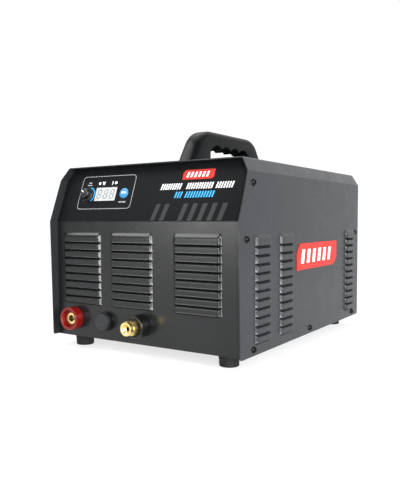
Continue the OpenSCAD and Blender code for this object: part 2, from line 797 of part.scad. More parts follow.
module earth_nuts() color("#c4c7c8") {
    at_earth() difference() {
        union() {
            rod_y(13, rear_y, rear_y + 1.2, 32);
            hex_y(10, rear_y + 1.2, rear_y + earth_nut_out);
        }
        rod_y(earth_shank_d, rear_y - 1, rear_y + 10, 32);
    }
}

// Inverter: board on posts, heatsinks below it, and the wound parts and capacitors above it
module power_board() color("#1f5a3a") {
    translate([board_x[0], board_y[0], board_z]) cube([board_x[1] - board_x[0], board_y[1] - board_y[0], board_t]);
}
module power_board_posts() color("#c9cccd") {
    for (x = [board_x[0] + 5, board_x[1] - 5])
        for (y = [board_y[0] + 5, board_y[1] - 5])
            translate([x, y, floor_z]) cylinder(d = 8, h = board_z - floor_z, $fn = 6);
}
module heatsinks() color("#c3c6c8") {
    fins = 9;
    for (x = sink_x) translate([x, sink_y - sink_len / 2, 0]) {
        translate([-sink_w / 2, 0, sink_top - 7]) cube([sink_w, sink_len, 7]);
        for (i = [0:fins - 1]) {
            outer = i == 0 || i == fins - 1;
            low = outer ? floor_z : floor_z + 10;
            translate([-sink_w / 2 + i * (sink_w - 2) / (fins - 1), 0, low]) cube([2, sink_len, sink_top - 7 - low + e]);
        }
    }
}
module power_transistors() color("#1b1c1d") {
    for (x = sink_x)
        for (i = [0:3])
            translate([x, sink_y - 60 + i * 40, sink_top]) {
                translate([-10.5, -8, 0]) cube([21, 16, 5]);
                for (j = [-1:1]) {
                    translate([10, j * 5 - 0.6, 2]) cube([4, 1.2, 0.8]);
                    translate([13.2, j * 5 - 0.6, 2]) cube([0.8, 1.2, board_z - sink_top - 2]);
                }
            }
}
module bus_capacitors() color("#24303f") {
    for (x = [-104, -64])
        for (y = [52, 90]) translate([x, y, board_top]) {
            cylinder(d = 35, h = 48);
            translate([0, 0, 48]) cylinder(d1 = 35, d2 = 32, h = 1.5);
        }
}
module transformer_core() color("#3b3d40") {
    translate([core_at[0], core_at[1], board_top + 1]) difference() {
        translate([-36, -16, 0]) cube([72, 32, 62]);
        for (s = [-1, 1]) translate([s * 19 - 9, -20, 10]) cube([18, 40, 42]);
    }
}
module transformer_winding() color("#b8862d") {
    translate([core_at[0], core_at[1], board_top + 1]) difference() {
        union() {
            translate([-27, -30, 12]) cube([54, 60, 38]);
            translate([-27.6, -31, 10.4]) cube([55.2, 62, 1.6]);
            translate([-27.6, -31, 50]) cube([55.2, 62, 1.6]);
        }
        translate([-10.2, -16.2, 0]) cube([20.4, 32.4, 62]);
    }
}
module choke_core() color("#5a6b4a") {
    translate([choke_at[0], choke_at[1], choke_z]) rotate_extrude($fn = 96) translate([17, 0]) square([16, 24]);
}
module choke_winding() color("#b8662d") {
    turns = 22;
    translate([choke_at[0], choke_at[1], choke_z]) for (i = [0:turns - 1]) rotate([0, 0, i * 360 / turns])
        translate([0, -1.6, 0]) difference() {
            translate([13.8, 0, -3]) cube([22.4, 3.2, 30]);
            translate([16.9, -1, -0.1]) cube([16.2, 6, 24.2]);
        }
}

// Gas valve on the base, fed from the rear inlet
module valve_body() color("#c9a24b") {
    translate([valve_at[0], valve_at[1], floor_z]) difference() {
        union() {
            translate([-14, -20, 0]) cube([28, 40, 24]);
            for (s = [-1, 1]) translate([0, s * 10 + 10, 12]) rod_y(7, s > 0 ? 0 : -22, s > 0 ? 12 : -10);
        }
        translate([0, 0, 12]) rod_y(4, -33, 33, 24);
    }
}
module valve_coil() color("#26282a") {
    translate([valve_at[0], valve_at[1], floor_z + 24]) {
        cylinder(d = 10, h = 38);
        translate([-14, -14, 4]) cube([28, 28, 28]);
        translate([0, 0, 36]) cylinder(d = 11 / cos(30), h = 4, $fn = 6);
    }
}

// Tubes that follow a smooth route: rings of points swept along a Catmull-Rom curve
function curve_at(a, b, c, d, t) = 0.5 * (2 * b + (c - a) * t + (2 * a - 5 * b + 4 * c - d) * t * t
    + (3 * b - a - 3 * c + d) * t * t * t);
function smooth(p, n) = let (k = len(p) - 1) concat([for (i = [0:k - 1]) for (j = [0:n - 1])
    curve_at(p[max(i - 1, 0)], p[i], p[i + 1], p[min(i + 2, k)], j / n)], [p[k]]);
function unit(v) = v / norm(v);
function ring(c, dir, r, sides) = let (u = unit(cross(dir, [0.83, 0.21, 0.52])), v = cross(dir, u))
    [for (s = [0:sides - 1]) c + r * (cos(360 * s / sides) * u + sin(360 * s / sides) * v)];
module tube(route, d, steps = 5, sides = 10) {
    path = smooth(route, steps);
    last = len(path) - 1;
    rings = [for (i = [0:last]) ring(path[i], unit(path[min(i + 1, last)] - path[max(i - 1, 0)]), d / 2, sides)];
    points = [for (r = rings) for (q = r) q];
    walls = [for (i = [0:last - 1]) for (s = [0:sides - 1])
        [i * sides + s, i * sides + (s + 1) % sides, (i + 1) * sides + (s + 1) % sides, (i + 1) * sides + s]];
    cap_a = [[for (s = [sides - 1:-1:0]) s]];
    cap_b = [[for (s = [0:sides - 1]) last * sides + s]];
    polyhedron(points, concat(walls, cap_a, cap_b));
}
module air_hoses() color("#2f5fa8") {
    tube(hose_rear_route, 10);
    tube(hose_front_route, 10);
}
// Output leads: straight runs and round bends that rise from a connector and come down on the board
module lead_up(y, z0, z1) {
    translate([0, y, z0]) cylinder(d = lead_d, h = z1 - z0);
}
module lead_bend(y, z, from, span) {
    translate([0, y, z]) rotate([90, 0, 90]) rotate([0, 0, from])
        rotate_extrude(angle = span) translate([lead_bend_r, 0]) circle(d = lead_d);
}
module output_leads() color("#7d1614") {
    translate([work_x, 0, 0]) {
        rise_y = work_back_y + 2 * lead_bend_r;
        translate([0, 0, conn_z]) rod_y(lead_d, work_back_y, rise_y - lead_bend_r);
        lead_bend(rise_y - lead_bend_r, conn_z + lead_bend_r, -90, 90);
        lead_up(rise_y, conn_z + lead_bend_r, lead_top_z);
        lead_bend(rise_y + lead_bend_r, lead_top_z, 0, 180);
        lead_up(rise_y + 2 * lead_bend_r, board_top, lead_top_z);
    }
    translate([torch_x, 0, 0]) {
        rise_y = torch_lug_y + 5;
        down_y = work_back_y + 4 * lead_bend_r;
        lead_up(rise_y, conn_z + 26, lead_top_z);
        lead_bend(rise_y + lead_bend_r, lead_top_z, 90, 90);
        translate([0, 0, lead_top_z + lead_bend_r]) rod_y(lead_d, rise_y + lead_bend_r, down_y - lead_bend_r);
        lead_bend(down_y - lead_bend_r, lead_top_z, 0, 90);
        lead_up(down_y, board_top, lead_top_z);
    }
    translate([torch_x, torch_lug_y, conn_z]) difference() {
        union() {
            rod_y(18, 0, 2, 32);
            translate([-5, 0, 6]) cube([10, 2, 20]);
            translate([-5, 0, 18]) cube([10, 10, 8]);
        }
        rod_y(torch_stem_d, -1, 3);
    }
}

module mains_leads() color("#2c2d2f") {
    tube(mains_in_route, 8);
    tube(mains_out_route, 6);
}

wrap_cover();
front_panel();
panel_overlay();
rear_panel();
base_pan();
rubber_feet();
foot_screws();
cover_screws();
handle();
handle_plate();
handle_screws();
side_badges();
front_badge();
work_socket_body();
work_socket_insert();
work_socket_nut();
torch_collar();
torch_connector();
torch_connector_nut();
control_socket();
control_socket_pins();
control_socket_nut();
control_socket_cap();
current_knob();
pot_shaft();
potentiometer();
test_button();
button_switch();
display_window();
display_module();
indicator_leds();
control_board();
control_board_posts();
fan_frame();
fan_rotor();
fan_grille();
fan_screws();
power_switch_body();
power_rocker();
cable_gland();
gland_cap();
gland_locknut();
air_inlet();
air_inlet_nut();
earth_stud();
earth_nuts();
power_board();
power_board_posts();
heatsinks();
power_transistors();
bus_capacitors();
transformer_core();
transformer_winding();
choke_core();
choke_winding();
valve_body();
valve_coil();
air_hoses();
output_leads();
mains_leads();
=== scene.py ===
"""Looks of the plasma cutter unit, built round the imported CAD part.

Metres. The front faces -Y and +Z is up.
"""

import json
import math

import bmesh
import bpy
from mathutils import Matrix, Vector
from mathutils.bvhtree import BVHTree
from mathutils.geometry import delaunay_2d_cdt


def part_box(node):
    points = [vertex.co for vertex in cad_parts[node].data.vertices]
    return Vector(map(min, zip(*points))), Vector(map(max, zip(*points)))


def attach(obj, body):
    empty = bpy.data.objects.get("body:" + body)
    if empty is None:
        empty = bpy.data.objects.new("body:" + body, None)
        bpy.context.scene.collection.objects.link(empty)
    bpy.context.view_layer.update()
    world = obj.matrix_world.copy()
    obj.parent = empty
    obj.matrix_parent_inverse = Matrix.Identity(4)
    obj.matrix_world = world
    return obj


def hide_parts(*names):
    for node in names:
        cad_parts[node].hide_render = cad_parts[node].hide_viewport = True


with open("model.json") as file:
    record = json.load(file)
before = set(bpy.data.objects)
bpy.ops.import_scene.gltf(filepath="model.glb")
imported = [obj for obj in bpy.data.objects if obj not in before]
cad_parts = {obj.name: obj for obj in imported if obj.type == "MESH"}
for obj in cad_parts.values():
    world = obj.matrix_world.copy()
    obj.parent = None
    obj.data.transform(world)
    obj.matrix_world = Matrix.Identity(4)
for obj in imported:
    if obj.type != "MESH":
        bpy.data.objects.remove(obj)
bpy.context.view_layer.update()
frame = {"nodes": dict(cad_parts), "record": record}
MM = 0.001
X, Y, Z = Vector((1, 0, 0)), Vector((0, 1, 0)), Vector((0, 0, 1))
SLOT_OF = {s["node"]: s["material_slot"] for s in frame["record"]["subparts"]}

# Sheet metal, as in the CAD source
SHEET = 1.2 * MM
LOUVRE_PITCH = 9.72 * MM
LOUVRE_OUT = 3.6 * MM
TOP_LOUVRE_H = 12.5 * MM
LOUVRE_END = 7 * MM
END_SLANT = 0.4
INNER_RISE = 2.6 * MM
INNER_DEPTH = 2.4 * MM
FRONT_LOUVRES = dict(starts=(-128.2, -47.9, 46.5), length=67, rows=9, top_slot=120.9, gap=1.4 * MM)
SIDE_LOUVRES = dict(starts=(33.6, 94.4, 315.5), length=40, rows=12, top_slot=120.1, gap=2.2 * MM)
# Cover screws: (back from the front edge, up from the case's bottom), millimetres
SIDE_SCREWS = ((31.6, 188.4), (16.7, 127.6), (32.5, 6.8), (187.5, 6.8), (349, 6.8), (360.3, 127.6))
CREASE_UP = 147 * MM
TOP_SETBACK = 26 * MM
TOE_SETBACK = 2.7 * MM
BEVEL_W, BEVEL_H = 10.3 * MM, 16.1 * MM
CORNER_R = 3 * MM


def box(node):
    """Low and high corners of a CAD node."""
    lo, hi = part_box(node)
    return Vector(lo), Vector(hi)


def middle(node):
    """Centre of a CAD node's box."""
    lo, hi = box(node)
    return (lo + hi) / 2


# Places read from the frame
cover_lo, cover_hi = box("wrap_cover")
CASE_HALF = cover_hi.x - LOUVRE_OUT
Y_FRONT, Y_REAR = cover_lo.y, cover_hi.y
Z_CASE, Z_ROOF = cover_lo.z, cover_hi.z
PANEL_Y = box("front_panel")[0].y + LOUVRE_OUT
CREASE_Z = Z_CASE + CREASE_UP
LEAN = math.atan2(TOP_SETBACK, Z_ROOF - CREASE_Z)
FILM = 0.6 * MM
INK = (FILM - .02 * MM, FILM + .06 * MM)


def place(origin, across, up):
    """The matrix of a local frame whose X is across, Y is up, and Z points out of the surface."""
    return Matrix.Translation(origin) @ Matrix((across, up, across.cross(up))).transposed().to_4x4()


FRONT = place(Vector((0, PANEL_Y, 0)), X, Z)
SLOPE = place(Vector((0, PANEL_Y, CREASE_Z)), X, Vector((0, math.sin(LEAN), math.cos(LEAN))))
RIGHT = place(Vector((CASE_HALF, 0, 0)), Y, Z)
LEFT = place(Vector((-CASE_HALF, 0, 0)), -Y, Z)


def moved(matrix, x, y, z=0.0):
    """A local frame slid along its own axes."""
    return matrix @ Matrix.Translation((x, y, z))


# ---------------- materials
MATERIALS = {}


def linear(hexa):
    """Linear colour of an sRGB hex string."""
    parts = [int(hexa[i:i + 2], 16) / 255 for i in (0, 2, 4)]
    return [p / 12.92 if p <= 0.04045 else ((p + 0.055) / 1.055) ** 2.4 for p in parts] + [1.0]


def shifted(colour, factor):
    """A lighter or darker tone of a colour."""
    return [min(1.0, c * factor) for c in colour[:3]] + [1.0]


class Surface:
    """A Principled material with noise in its colour, roughness and bump, in object coordinates."""

    def __init__(self, name, colour, rough, metal=0.0, spec=0.5):
        self.material = bpy.data.materials.new(name)
        self.material.use_nodes = True
        MATERIALS[name] = self.material
        self.tree = self.material.node_tree
        self.shader = self.tree.nodes["Principled BSDF"]
        self.shader.inputs["Metallic"].default_value = metal
        self.shader.inputs["Specular IOR Level"].default_value = spec
        self.coords = self.node("ShaderNodeTexCoord").outputs["Object"]
        self.colour = colour
        self.rough = rough
        self.normal = None

    def node(self, kind, **settings):
        """A new shader node with its settings."""
        made = self.tree.nodes.new(kind)
        for key, value in settings.items():
            setattr(made, key, value)
        return made

    def link(self, out, into):
        """Joins an output to an input."""
        self.tree.links.new(out, into)

    def noise(self, scale, detail=3.0, stretch=(1, 1, 1), rough=0.55):
        """Noise of a given scale, which may be stretched along an axis."""
        mapping = self.node("ShaderNodeMapping")
        mapping.inputs["Scale"].default_value = [scale * s for s in stretch]
        self.link(self.coords, mapping.inputs["Vector"])
        noise = self.node("ShaderNodeTexNoise")
        noise.inputs["Scale"].default_value = 1.0
        noise.inputs["Detail"].default_value = detail
        noise.inputs["Roughness"].default_value = rough
        self.link(mapping.outputs["Vector"], noise.inputs["Vector"])
        return noise.outputs["Fac"]

    def remap(self, value, low, high, start=0.3, stop=0.7):
        """A value between start and stop, spread from low to high."""
        node = self.node("ShaderNodeMapRange")
        node.inputs["From Min"].default_value = start
        node.inputs["From Max"].default_value = stop
        node.inputs["To Min"].default_value = low
        node.inputs["To Max"].default_value = high
        self.link(value, node.inputs["Value"])
        return node.outputs["Result"]

    def mix(self, value, first, second):
        """A blend of two colours, each a list or the output of a node."""
        node = self.node("ShaderNodeMix", data_type="RGBA")
        self.link(value, node.inputs["Factor"])
        for index, colour in ((6, first), (7, second)):
            if isinstance(colour, list):
                node.inputs[index].default_value = colour
            else:
                self.link(colour, node.inputs[index])
        return node.outputs[2]

    def mottle(self, scale, amount, **noise):
        """Slow change of tone over the surface."""
        value = self.remap(self.noise(scale, **noise), 0.0, 1.0)
        base = self.colour
        if isinstance(base, list):
            self.colour = self.mix(value, shifted(base, 1 - amount), shifted(base, 1 + amount))
        return self

    def specks(self, scale, colour, start=0.66, stop=0.72, **noise):
        """Fine marks of another tone, such as dust or rubbed spots."""
        value = self.remap(self.noise(scale, **noise), 0.0, 1.0, start, stop)
        self.colour = self.mix(value, self.colour, colour)
        return self

    def roughness(self, scale, spread, **noise):
        """Uneven roughness round the material's own."""
        value = self.remap(self.noise(scale, **noise), self.rough - spread, self.rough + spread)
        self.link(value, self.shader.inputs["Roughness"])
        return self

    def bump(self, scale, depth, **noise):
        """Fine relief, on top of any relief there already is."""
        node = self.node("ShaderNodeBump")
        node.inputs["Strength"].default_value = 1.0
        node.inputs["Distance"].default_value = depth
        self.link(self.noise(scale, **noise), node.inputs["Height"])
        if self.normal is not None:
            self.link(self.normal, node.inputs["Normal"])
        self.normal = node.outputs["Normal"]
        return self

    def done(self):
        """Links what was made to the shader and returns the material."""
        if isinstance(self.colour, list):
            self.shader.inputs["Base Color"].default_value = self.colour
        else:
            self.link(self.colour, self.shader.inputs["Base Color"])
        if not self.shader.inputs["Roughness"].is_linked:
            self.shader.inputs["Roughness"].default_value = self.rough
        if self.normal is not None:
            self.link(self.normal, self.shader.inputs["Normal"])
        return self.material


def painted(name, hexa, rough=0.5, grain=0.02 * MM, spec=0.45):
    """Powder coat: fine orange peel, slow mottling, and faint dust."""
    colour = linear(hexa)
    surface = Surface(name, colour, rough, spec=spec).mottle(14, 0.05, detail=4)
    surface.specks(900, shifted(colour, 1.25), 0.64, 0.74, detail=2)
    surface.roughness(35, 0.05, detail=4)
    return surface.bump(1500, grain, detail=2).bump(260, grain * 0.6, detail=2).done()


def plastic(name, hexa, rough=0.45, grain=0.03 * MM, scale=1300, spec=0.5):
    """Moulded plastic: fine spark grain and rubbed patches."""
    colour = linear(hexa)
    surface = Surface(name, colour, rough, spec=spec).mottle(30, 0.08, detail=4)
    surface.specks(160, shifted(colour, 1.35), 0.62, 0.8, detail=5)
    surface.roughness(60, 0.07, detail=5)
    return surface.bump(scale, grain, detail=3).done()


def rubber(name, hexa):
    """Matt rubber with a coarse grain and pale dust."""
    colour = linear(hexa)
    surface = Surface(name, colour, 0.72, spec=0.3).mottle(45, 0.12, detail=5)
    surface.specks(420, shifted(colour, 1.7), 0.62, 0.75, detail=4)
    surface.roughness(80, 0.08, detail=4)
    return surface.bump(700, 0.05 * MM, detail=4).done()


def metal(name, hexa, rough=0.3, stretch=(1, 1, 1), marks=0.12, scale=260, depth=0.012 * MM,
          spread=0.09):
    """Bare or plated metal with tool marks along one direction, and slightly dulled patches."""
    colour = linear(hexa)
    surface = Surface(name, colour, rough, metal=1.0).mottle(40, marks, detail=5)
    surface.roughness(scale, spread, detail=4, stretch=stretch)
    return surface.bump(scale * 2.2, depth, detail=3, stretch=stretch).done()


def printed(name, hexa, rough=0.4, spec=0.3):
    """Printing ink: slightly uneven cover on a fine-grained film."""
    colour = linear(hexa)
    surface = Surface(name, colour, rough, spec=spec).mottle(120, 0.04, detail=3)
    surface.specks(1600, shifted(colour, 0.8), 0.68, 0.8, detail=2)
    return surface.roughness(300, 0.05).bump(1800, 0.01 * MM, detail=2).done()


def clear_lens(name, hexa):
    """Glossy light pipe with a clear coat."""
    colour = linear(hexa)
    surface = Surface(name, colour, 0.16).mottle(400, 0.08)
    surface.shader.inputs["Coat Weight"].default_value = 0.6
    return surface.roughness(500, 0.06).bump(900, 0.01 * MM).done()


painted("cover_paint", "242629", 0.28, grain=0.008 * MM, spec=0.2)
# Darker, rougher copy of the cover paint for the cover's inner faces: painted shade inside the hood and
# behind the side plates.
painted("cover_inside_painted_shade", "1c1e1f", 0.6, spec=0.2)
painted("panel_paint", "151617", 0.25, grain=0.008 * MM, spec=0.34)
plastic("panel_film", "111213", 0.45, grain=0.01 * MM, scale=2200, spec=0.05)
metal("inner_steel", "8d9194", 0.42, stretch=(1, 0.15, 1))
plastic("black_steel", "030303", 0.16, grain=0.004 * MM, scale=900, spec=0.16)
rubber("rubber", "0a0b0b")
plastic("handle_plastic", "08090a", 0.27, grain=0.012 * MM, scale=1500, spec=0.1)
printed("badge_red", "a3221a", 0.4, spec=0.2)
plastic("socket_red", "640906", 0.28, grain=0.008 * MM, spec=0.4)
metal("brass", "edd591", 0.29, stretch=(1, 5, 1), marks=0.06, scale=900, depth=0.001 * MM,
      spread=0.03)
plastic("black_plastic", "0b0b0c", 0.3, grain=0.01 * MM, spec=0.4)
plastic("cap_grey", "222425", 0.5, grain=0.02 * MM, spec=0.3)
plastic("knob_black", "0f1012", 0.35, grain=0.02 * MM)
plastic("button_blue", "27709a", 0.35, grain=0.015 * MM)
printed("window_white", "a9acac", 0.3)
clear_lens("led_lens", "c8cccf")
plastic("board_green", "12492b", 0.35)
plastic("component_blue", "28466b", 0.45)
metal("grille_wire", "b9bcbf", 0.25)
plastic("rocker_red", "8f1712", 0.3, grain=0.015 * MM)
metal("heatsink_aluminium", "b4b7b9", 0.38, stretch=(1, 0.1, 1))
plastic("capacitor_sleeve", "1a2233", 0.3, grain=0.01 * MM)
plastic("ferrite", "2b2c2e", 0.6, grain=0.06 * MM, scale=800)
metal("copper_winding", "b8692c", 0.35, stretch=(1, 1, 8))
rubber("hose_blue", "1c4a8f")
rubber("cable_red", "7d1614")
rubber("cable_black", "1d1e20")
printed("print_white", "e6e8e8")
printed("print_blue", "2c8fc9")
printed("print_grey", "8e9294")
printed("print_ghost", "2a2c2d", spec=0.15)
printed("print_digit", "63676a")


# ---------------- mesh helpers

def shade(mesh, angle):
    """Smooth faces, with sharp edges where they meet at more than an angle."""
    mesh.shade_smooth()
    mesh.set_sharp_from_angle(angle=math.radians(angle))


def new_object(name, data):
    """An object in the scene that shows the data."""
    obj = bpy.data.objects.new(name, data)
    bpy.context.scene.collection.objects.link(obj)
    return obj


def with_modifiers_applied(obj):
    """Replaces the object's mesh with the one its modifiers make."""
    graph = bpy.context.evaluated_depsgraph_get()
    made = bpy.data.meshes.new_from_object(obj.evaluated_get(graph))
    obj.modifiers.clear()
    obj.data = made


def piece(name, bm, slot, body="case", stands_for=(), finish=None, angle=35, closed=True,
          thickness=0.0, inner=None, flat=False):
    """Turns a bmesh into a named piece that rides on a CAD body, with the material of its finish, or else
    of its slot.
    """
    if closed:
        bmesh.ops.recalc_face_normals(bm, faces=bm.faces)
    mesh = bpy.data.meshes.new(name)
    bm.to_mesh(mesh)
    bm.free()
    mesh.materials.append(MATERIALS[finish or slot])
    obj = new_object(name, mesh)
    if thickness:
        solid = obj.modifiers.new("sheet", "SOLIDIFY")
        solid.thickness, solid.offset = thickness, -1
        if inner:
            mesh.materials.append(MATERIALS[inner])
            solid.material_offset = 1
        with_modifiers_applied(obj)
    shade(obj.data, angle)
    if flat:
        even = obj.modifiers.new("flat_plates", "WEIGHTED_NORMAL")
        even.keep_sharp, even.weight = True, 100
        with_modifiers_applied(obj)
    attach(obj, body)
    if stands_for:
        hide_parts(*stands_for)


def soften(points, radius, steps=4, ring=False):
    """The same outline with its corners rounded."""
    out, count = [], len(points)
    for i, corner in enumerate(points):
        if not ring and i in (0, count - 1):
            out.append(Vector(corner))
            continue
        corner = Vector(corner)
        before, after = Vector(points[i - 1]) - corner, Vector(points[(i + 1) % count]) - corner
        reach = min(radius, before.length * 0.45, after.length * 0.45)
        start, end = corner + before.normalized() * reach, corner + after.normalized() * reach
        for k in range(steps + 1):
            t = k / steps
            out.append(start * (1 - t) ** 2 + corner * 2 * t * (1 - t) + end * t ** 2)
    return out


def arc(cx, cy, radius, start, stop, steps):
    """Points of an arc, from and to an angle in degrees."""
    turns = [math.radians(start + (stop - start) * i / steps) for i in range(steps + 1)]
    return [(cx + radius * math.cos(a), cy + radius * math.sin(a)) for a in turns]


def lathe(bm, matrix, profile, segments=64, shape=None):
    """A body of revolution about the local Z, from (radius, height) pairs. shape may change a radius."""
    rings = []
    for r, h in profile:
        if r < 1e-6:
            rings.append([bm.verts.new(matrix @ Vector((0, 0, h)))])
            continue
        ring = []
        for i in range(segments):
            a = 2 * math.pi * i / segments
            rr = shape(r, h, a) if shape else r
            ring.append(bm.verts.new(matrix @ Vector((rr * math.cos(a), rr * math.sin(a), h))))
        rings.append(ring)
    for one, two in zip(rings, rings[1:]):
        for i in range(segments):
            j = (i + 1) % segments
            corners = [one[i % len(one)], one[j % len(one)], two[j % len(two)], two[i % len(two)]]
            corners = list(dict.fromkeys(corners))
            if len(corners) > 2:
                bm.faces.new(corners)


def prism(bm, matrix, outline, low, high):
    """A closed solid over an outline in the local XY plane."""
    bottom = [bm.verts.new(matrix @ Vector((p[0], p[1], low))) for p in outline]
    top = [bm.verts.new(matrix @ Vector((p[0], p[1], high))) for p in outline]
    count = len(outline)
    bm.faces.new(bottom[::-1])
    bm.faces.new(top)
    for i in range(count):
        j = (i + 1) % count
        bm.faces.new((bottom[i], bottom[j], top[j], top[i]))


def ring_prism(bm, matrix, outer, inner, low, high):
    """A closed band between two outlines with the same number of points."""
    loops = [[bm.verts.new(matrix @ Vector((p[0], p[1], h))) for p in line]
             for line, h in ((outer, low), (outer, high), (inner, high), (inner, low))]
    count = len(outer)
    for one, two in zip(loops, loops[1:] + loops[:1]):
        for i in range(count):
            j = (i + 1) % count
            bm.faces.new((one[i], one[j], two[j], two[i]))


def rounded_rect(cx, cy, w, h, radius, steps=5):
    """Outline of a rectangle about a centre, with round corners."""
    half_w, half_h = w / 2, h / 2
    corners = [(cx - half_w, cy - half_h), (cx + half_w, cy - half_h),
               (cx + half_w, cy + half_h), (cx - half_w, cy + half_h)]
    return soften(corners, radius, steps, ring=True)


def inside(point, outline):
    """True if the point is within the closed outline."""
    hit, (px, py) = False, point
    for (ax, ay), (bx, by) in zip(outline, outline[1:] + outline[:1]):
        if (ay > py) != (by > py) and px < (bx - ax) * (py - ay) / (by - ay) + ax:
            hit = not hit
    return hit


def plate(bm, matrix, outline, holes):
    """A flat skin in the local XY plane, with holes left open, facing the local +Z."""
    points, edges = [], []
    for loop in [outline] + holes:
        first = len(points)
        points += [Vector(p) for p in loop]
        edges += [(first + i, first + (i + 1) % len(loop)) for i in range(len(loop))]
    flat, _, faces = delaunay_2d_cdt(points, edges, [], 0, 1e-7)[:3]
    verts = [bm.verts.new(matrix @ Vector((p.x, p.y, 0))) for p in flat]
    for face in faces:
        a, b, c = (flat[i] for i in face)
        centre = ((a.x + b.x + c.x) / 3, (a.y + b.y + c.y) / 3)
        if not inside(centre, outline) or any(inside(centre, hole) for hole in holes):
            continue
        turn = (b - a).x * (c - a).y - (b - a).y * (c - a).x
        order = face if turn > 0 else face[::-1]
        bm.faces.new([verts[i] for i in order])


# ---------------- louvred sheets

# (share of the louvre's height above its lip, share of its depth): rolled lip, flat face, shoulder, root
LIP_PROFILE = ((0, .9), (.015, .96), (.035, .99), (.055, 1), (.08, .99), (.105, .95), (.13, .9),
               (.155, .87), (.185, .86), (.4, .87), (.7, .88), (.8, .86), (.86, .78), (.91, .6),
               (.96, .3), (1, 0))
TOP_PROFILE = ((0, .9), (.01, .96), (.022, .99), (.036, 1), (.052, .99), (.07, .95), (.085, .9),
               (.1, .87), (.12, .86), (.3, .87), (.48, .88), (.56, .86), (.63, .79), (.72, .62),
               (.82, .38), (.92, .13), (1, 0))
# Columns of vertices over a louvre's end, as shares of the end, and over its middle, of its length
END_STEPS = (0, .06, .12, .19, .26, .33, .4, .48, .55, .62, .7, .8, .9, 1, 1.2, 1.4)
MIDDLE_STEPS = (0.35, 0.5, 0.65)


def end_rise(share):
    """How far a louvre has risen, of its depth, at a share of the way in over its end.

    It is a ramp with a rounded foot and a rounded top.
    """
    lower, upper = 0.12, 0.55
    foot, slope = 0.075, 1.72
    if share < lower:
        return foot / lower ** 2 * share * share
    if share < upper:
        return foot + (share - lower) * slope
    left = (1 - share) / (1 - upper)
    return 1 - (1 - foot - (upper - lower) * slope) * left ** 4


def join_rows(bm, rows):
    """Faces between rows of vertices that run the same way."""
    for one, two in zip(rows, rows[1:]):
        for i in range(len(one) - 1):
            bm.faces.new((one[i], one[i + 1], two[i + 1], two[i]))


def inner_flange(bm, matrix, start, across, lift, slot_z, gap):
    """The edge behind a lip, which leans inward and up, so that the slot isn't seen through."""
    return [bm.verts.new(matrix @ Vector((start + d, slot_z + (INNER_RISE - gap) * f, -INNER_DEPTH * f)))
            for d, f in zip(across, lift)]


def louvre_column(bm, matrix, start, length, slots, gap):
    """Pressed louvres one above the other. Returns the outline of the opening in the flat sheet."""
    near = [LOUVRE_END * t for t in END_STEPS]
    across = near + [length * s for s in MIDDLE_STEPS] + [length - d for d in near[::-1]]
    lift = [end_rise(min(1.0, min(d, length - d) / LOUVRE_END)) for d in across]
    side = []
    for row, low in enumerate(slots):
        last = row == len(slots) - 1
        profile = TOP_PROFILE if last else LIP_PROFILE
        grid = []
        for share, depth in profile:
            line = []
            for d, f in zip(across, lift):
                height = TOP_LOUVRE_H if last else LOUVRE_PITCH - gap * f
                inset = min(1.0, min(d, length - d) / LOUVRE_END) - END_SLANT * share * (1 - f)
                out = LOUVRE_OUT * depth * end_rise(max(0.0, inset))
                line.append(bm.verts.new(matrix @ Vector((start + d, low + share * height, out))))
            grid.append(line)
            side.append(low + share * (TOP_LOUVRE_H if last else LOUVRE_PITCH))
        if not last:
            grid.append(inner_flange(bm, matrix, start, across, lift, low + LOUVRE_PITCH, gap))
        join_rows(bm, grid)
    bottom = [(start + d, slots[0] - gap * f) for d, f in zip(across, lift)]
    root = [bm.verts.new(matrix @ Vector((x, z, 0))) for x, z in bottom]
    join_rows(bm, [root, inner_flange(bm, matrix, start, across, lift, slots[0], gap)])
    side = sorted(set(round(v, 7) for v in side))
    right = [(start + length, v) for v in side[1:]]
    top = [(start + d, side[-1]) for d in across[::-1][1:]]
    left = [(start, v) for v in side[::-1][1:-1]]
    return bottom + right + top + left


def slot_heights(group):
    """Heights of the slots of a louvre column, from the lowest up."""
    top = Z_CASE + group["top_slot"] * MM
    return [top - LOUVRE_PITCH * i for i in range(group["rows"])][::-1]


def slope_front(z):
    """Y of the hood's front edge at a height above the crease."""
    return Y_FRONT + TOP_SETBACK * (z - CREASE_Z) / (Z_ROOF - CREASE_Z)


def side_outline(join_z):
    """Outline of a side plate below the bevel, as (y, z)."""
    front = arc(Y_FRONT + TOE_SETBACK + CORNER_R, Z_CASE + CORNER_R, CORNER_R, 270, 180, 5)
    rear = arc(Y_REAR - CORNER_R, Z_CASE + CORNER_R, CORNER_R, 0, -90, 5)
    return front + [(Y_FRONT, CREASE_Z), (slope_front(join_z), join_z), (Y_REAR, join_z)] + rear


def weld(bm, pressed):
    """Joins the flat parts of a sheet. Its first vertices are the louvres', which stay apart."""
    bm.verts.ensure_lookup_table()
    bmesh.ops.remove_doubles(bm, verts=bm.verts[pressed:], dist=2e-6)


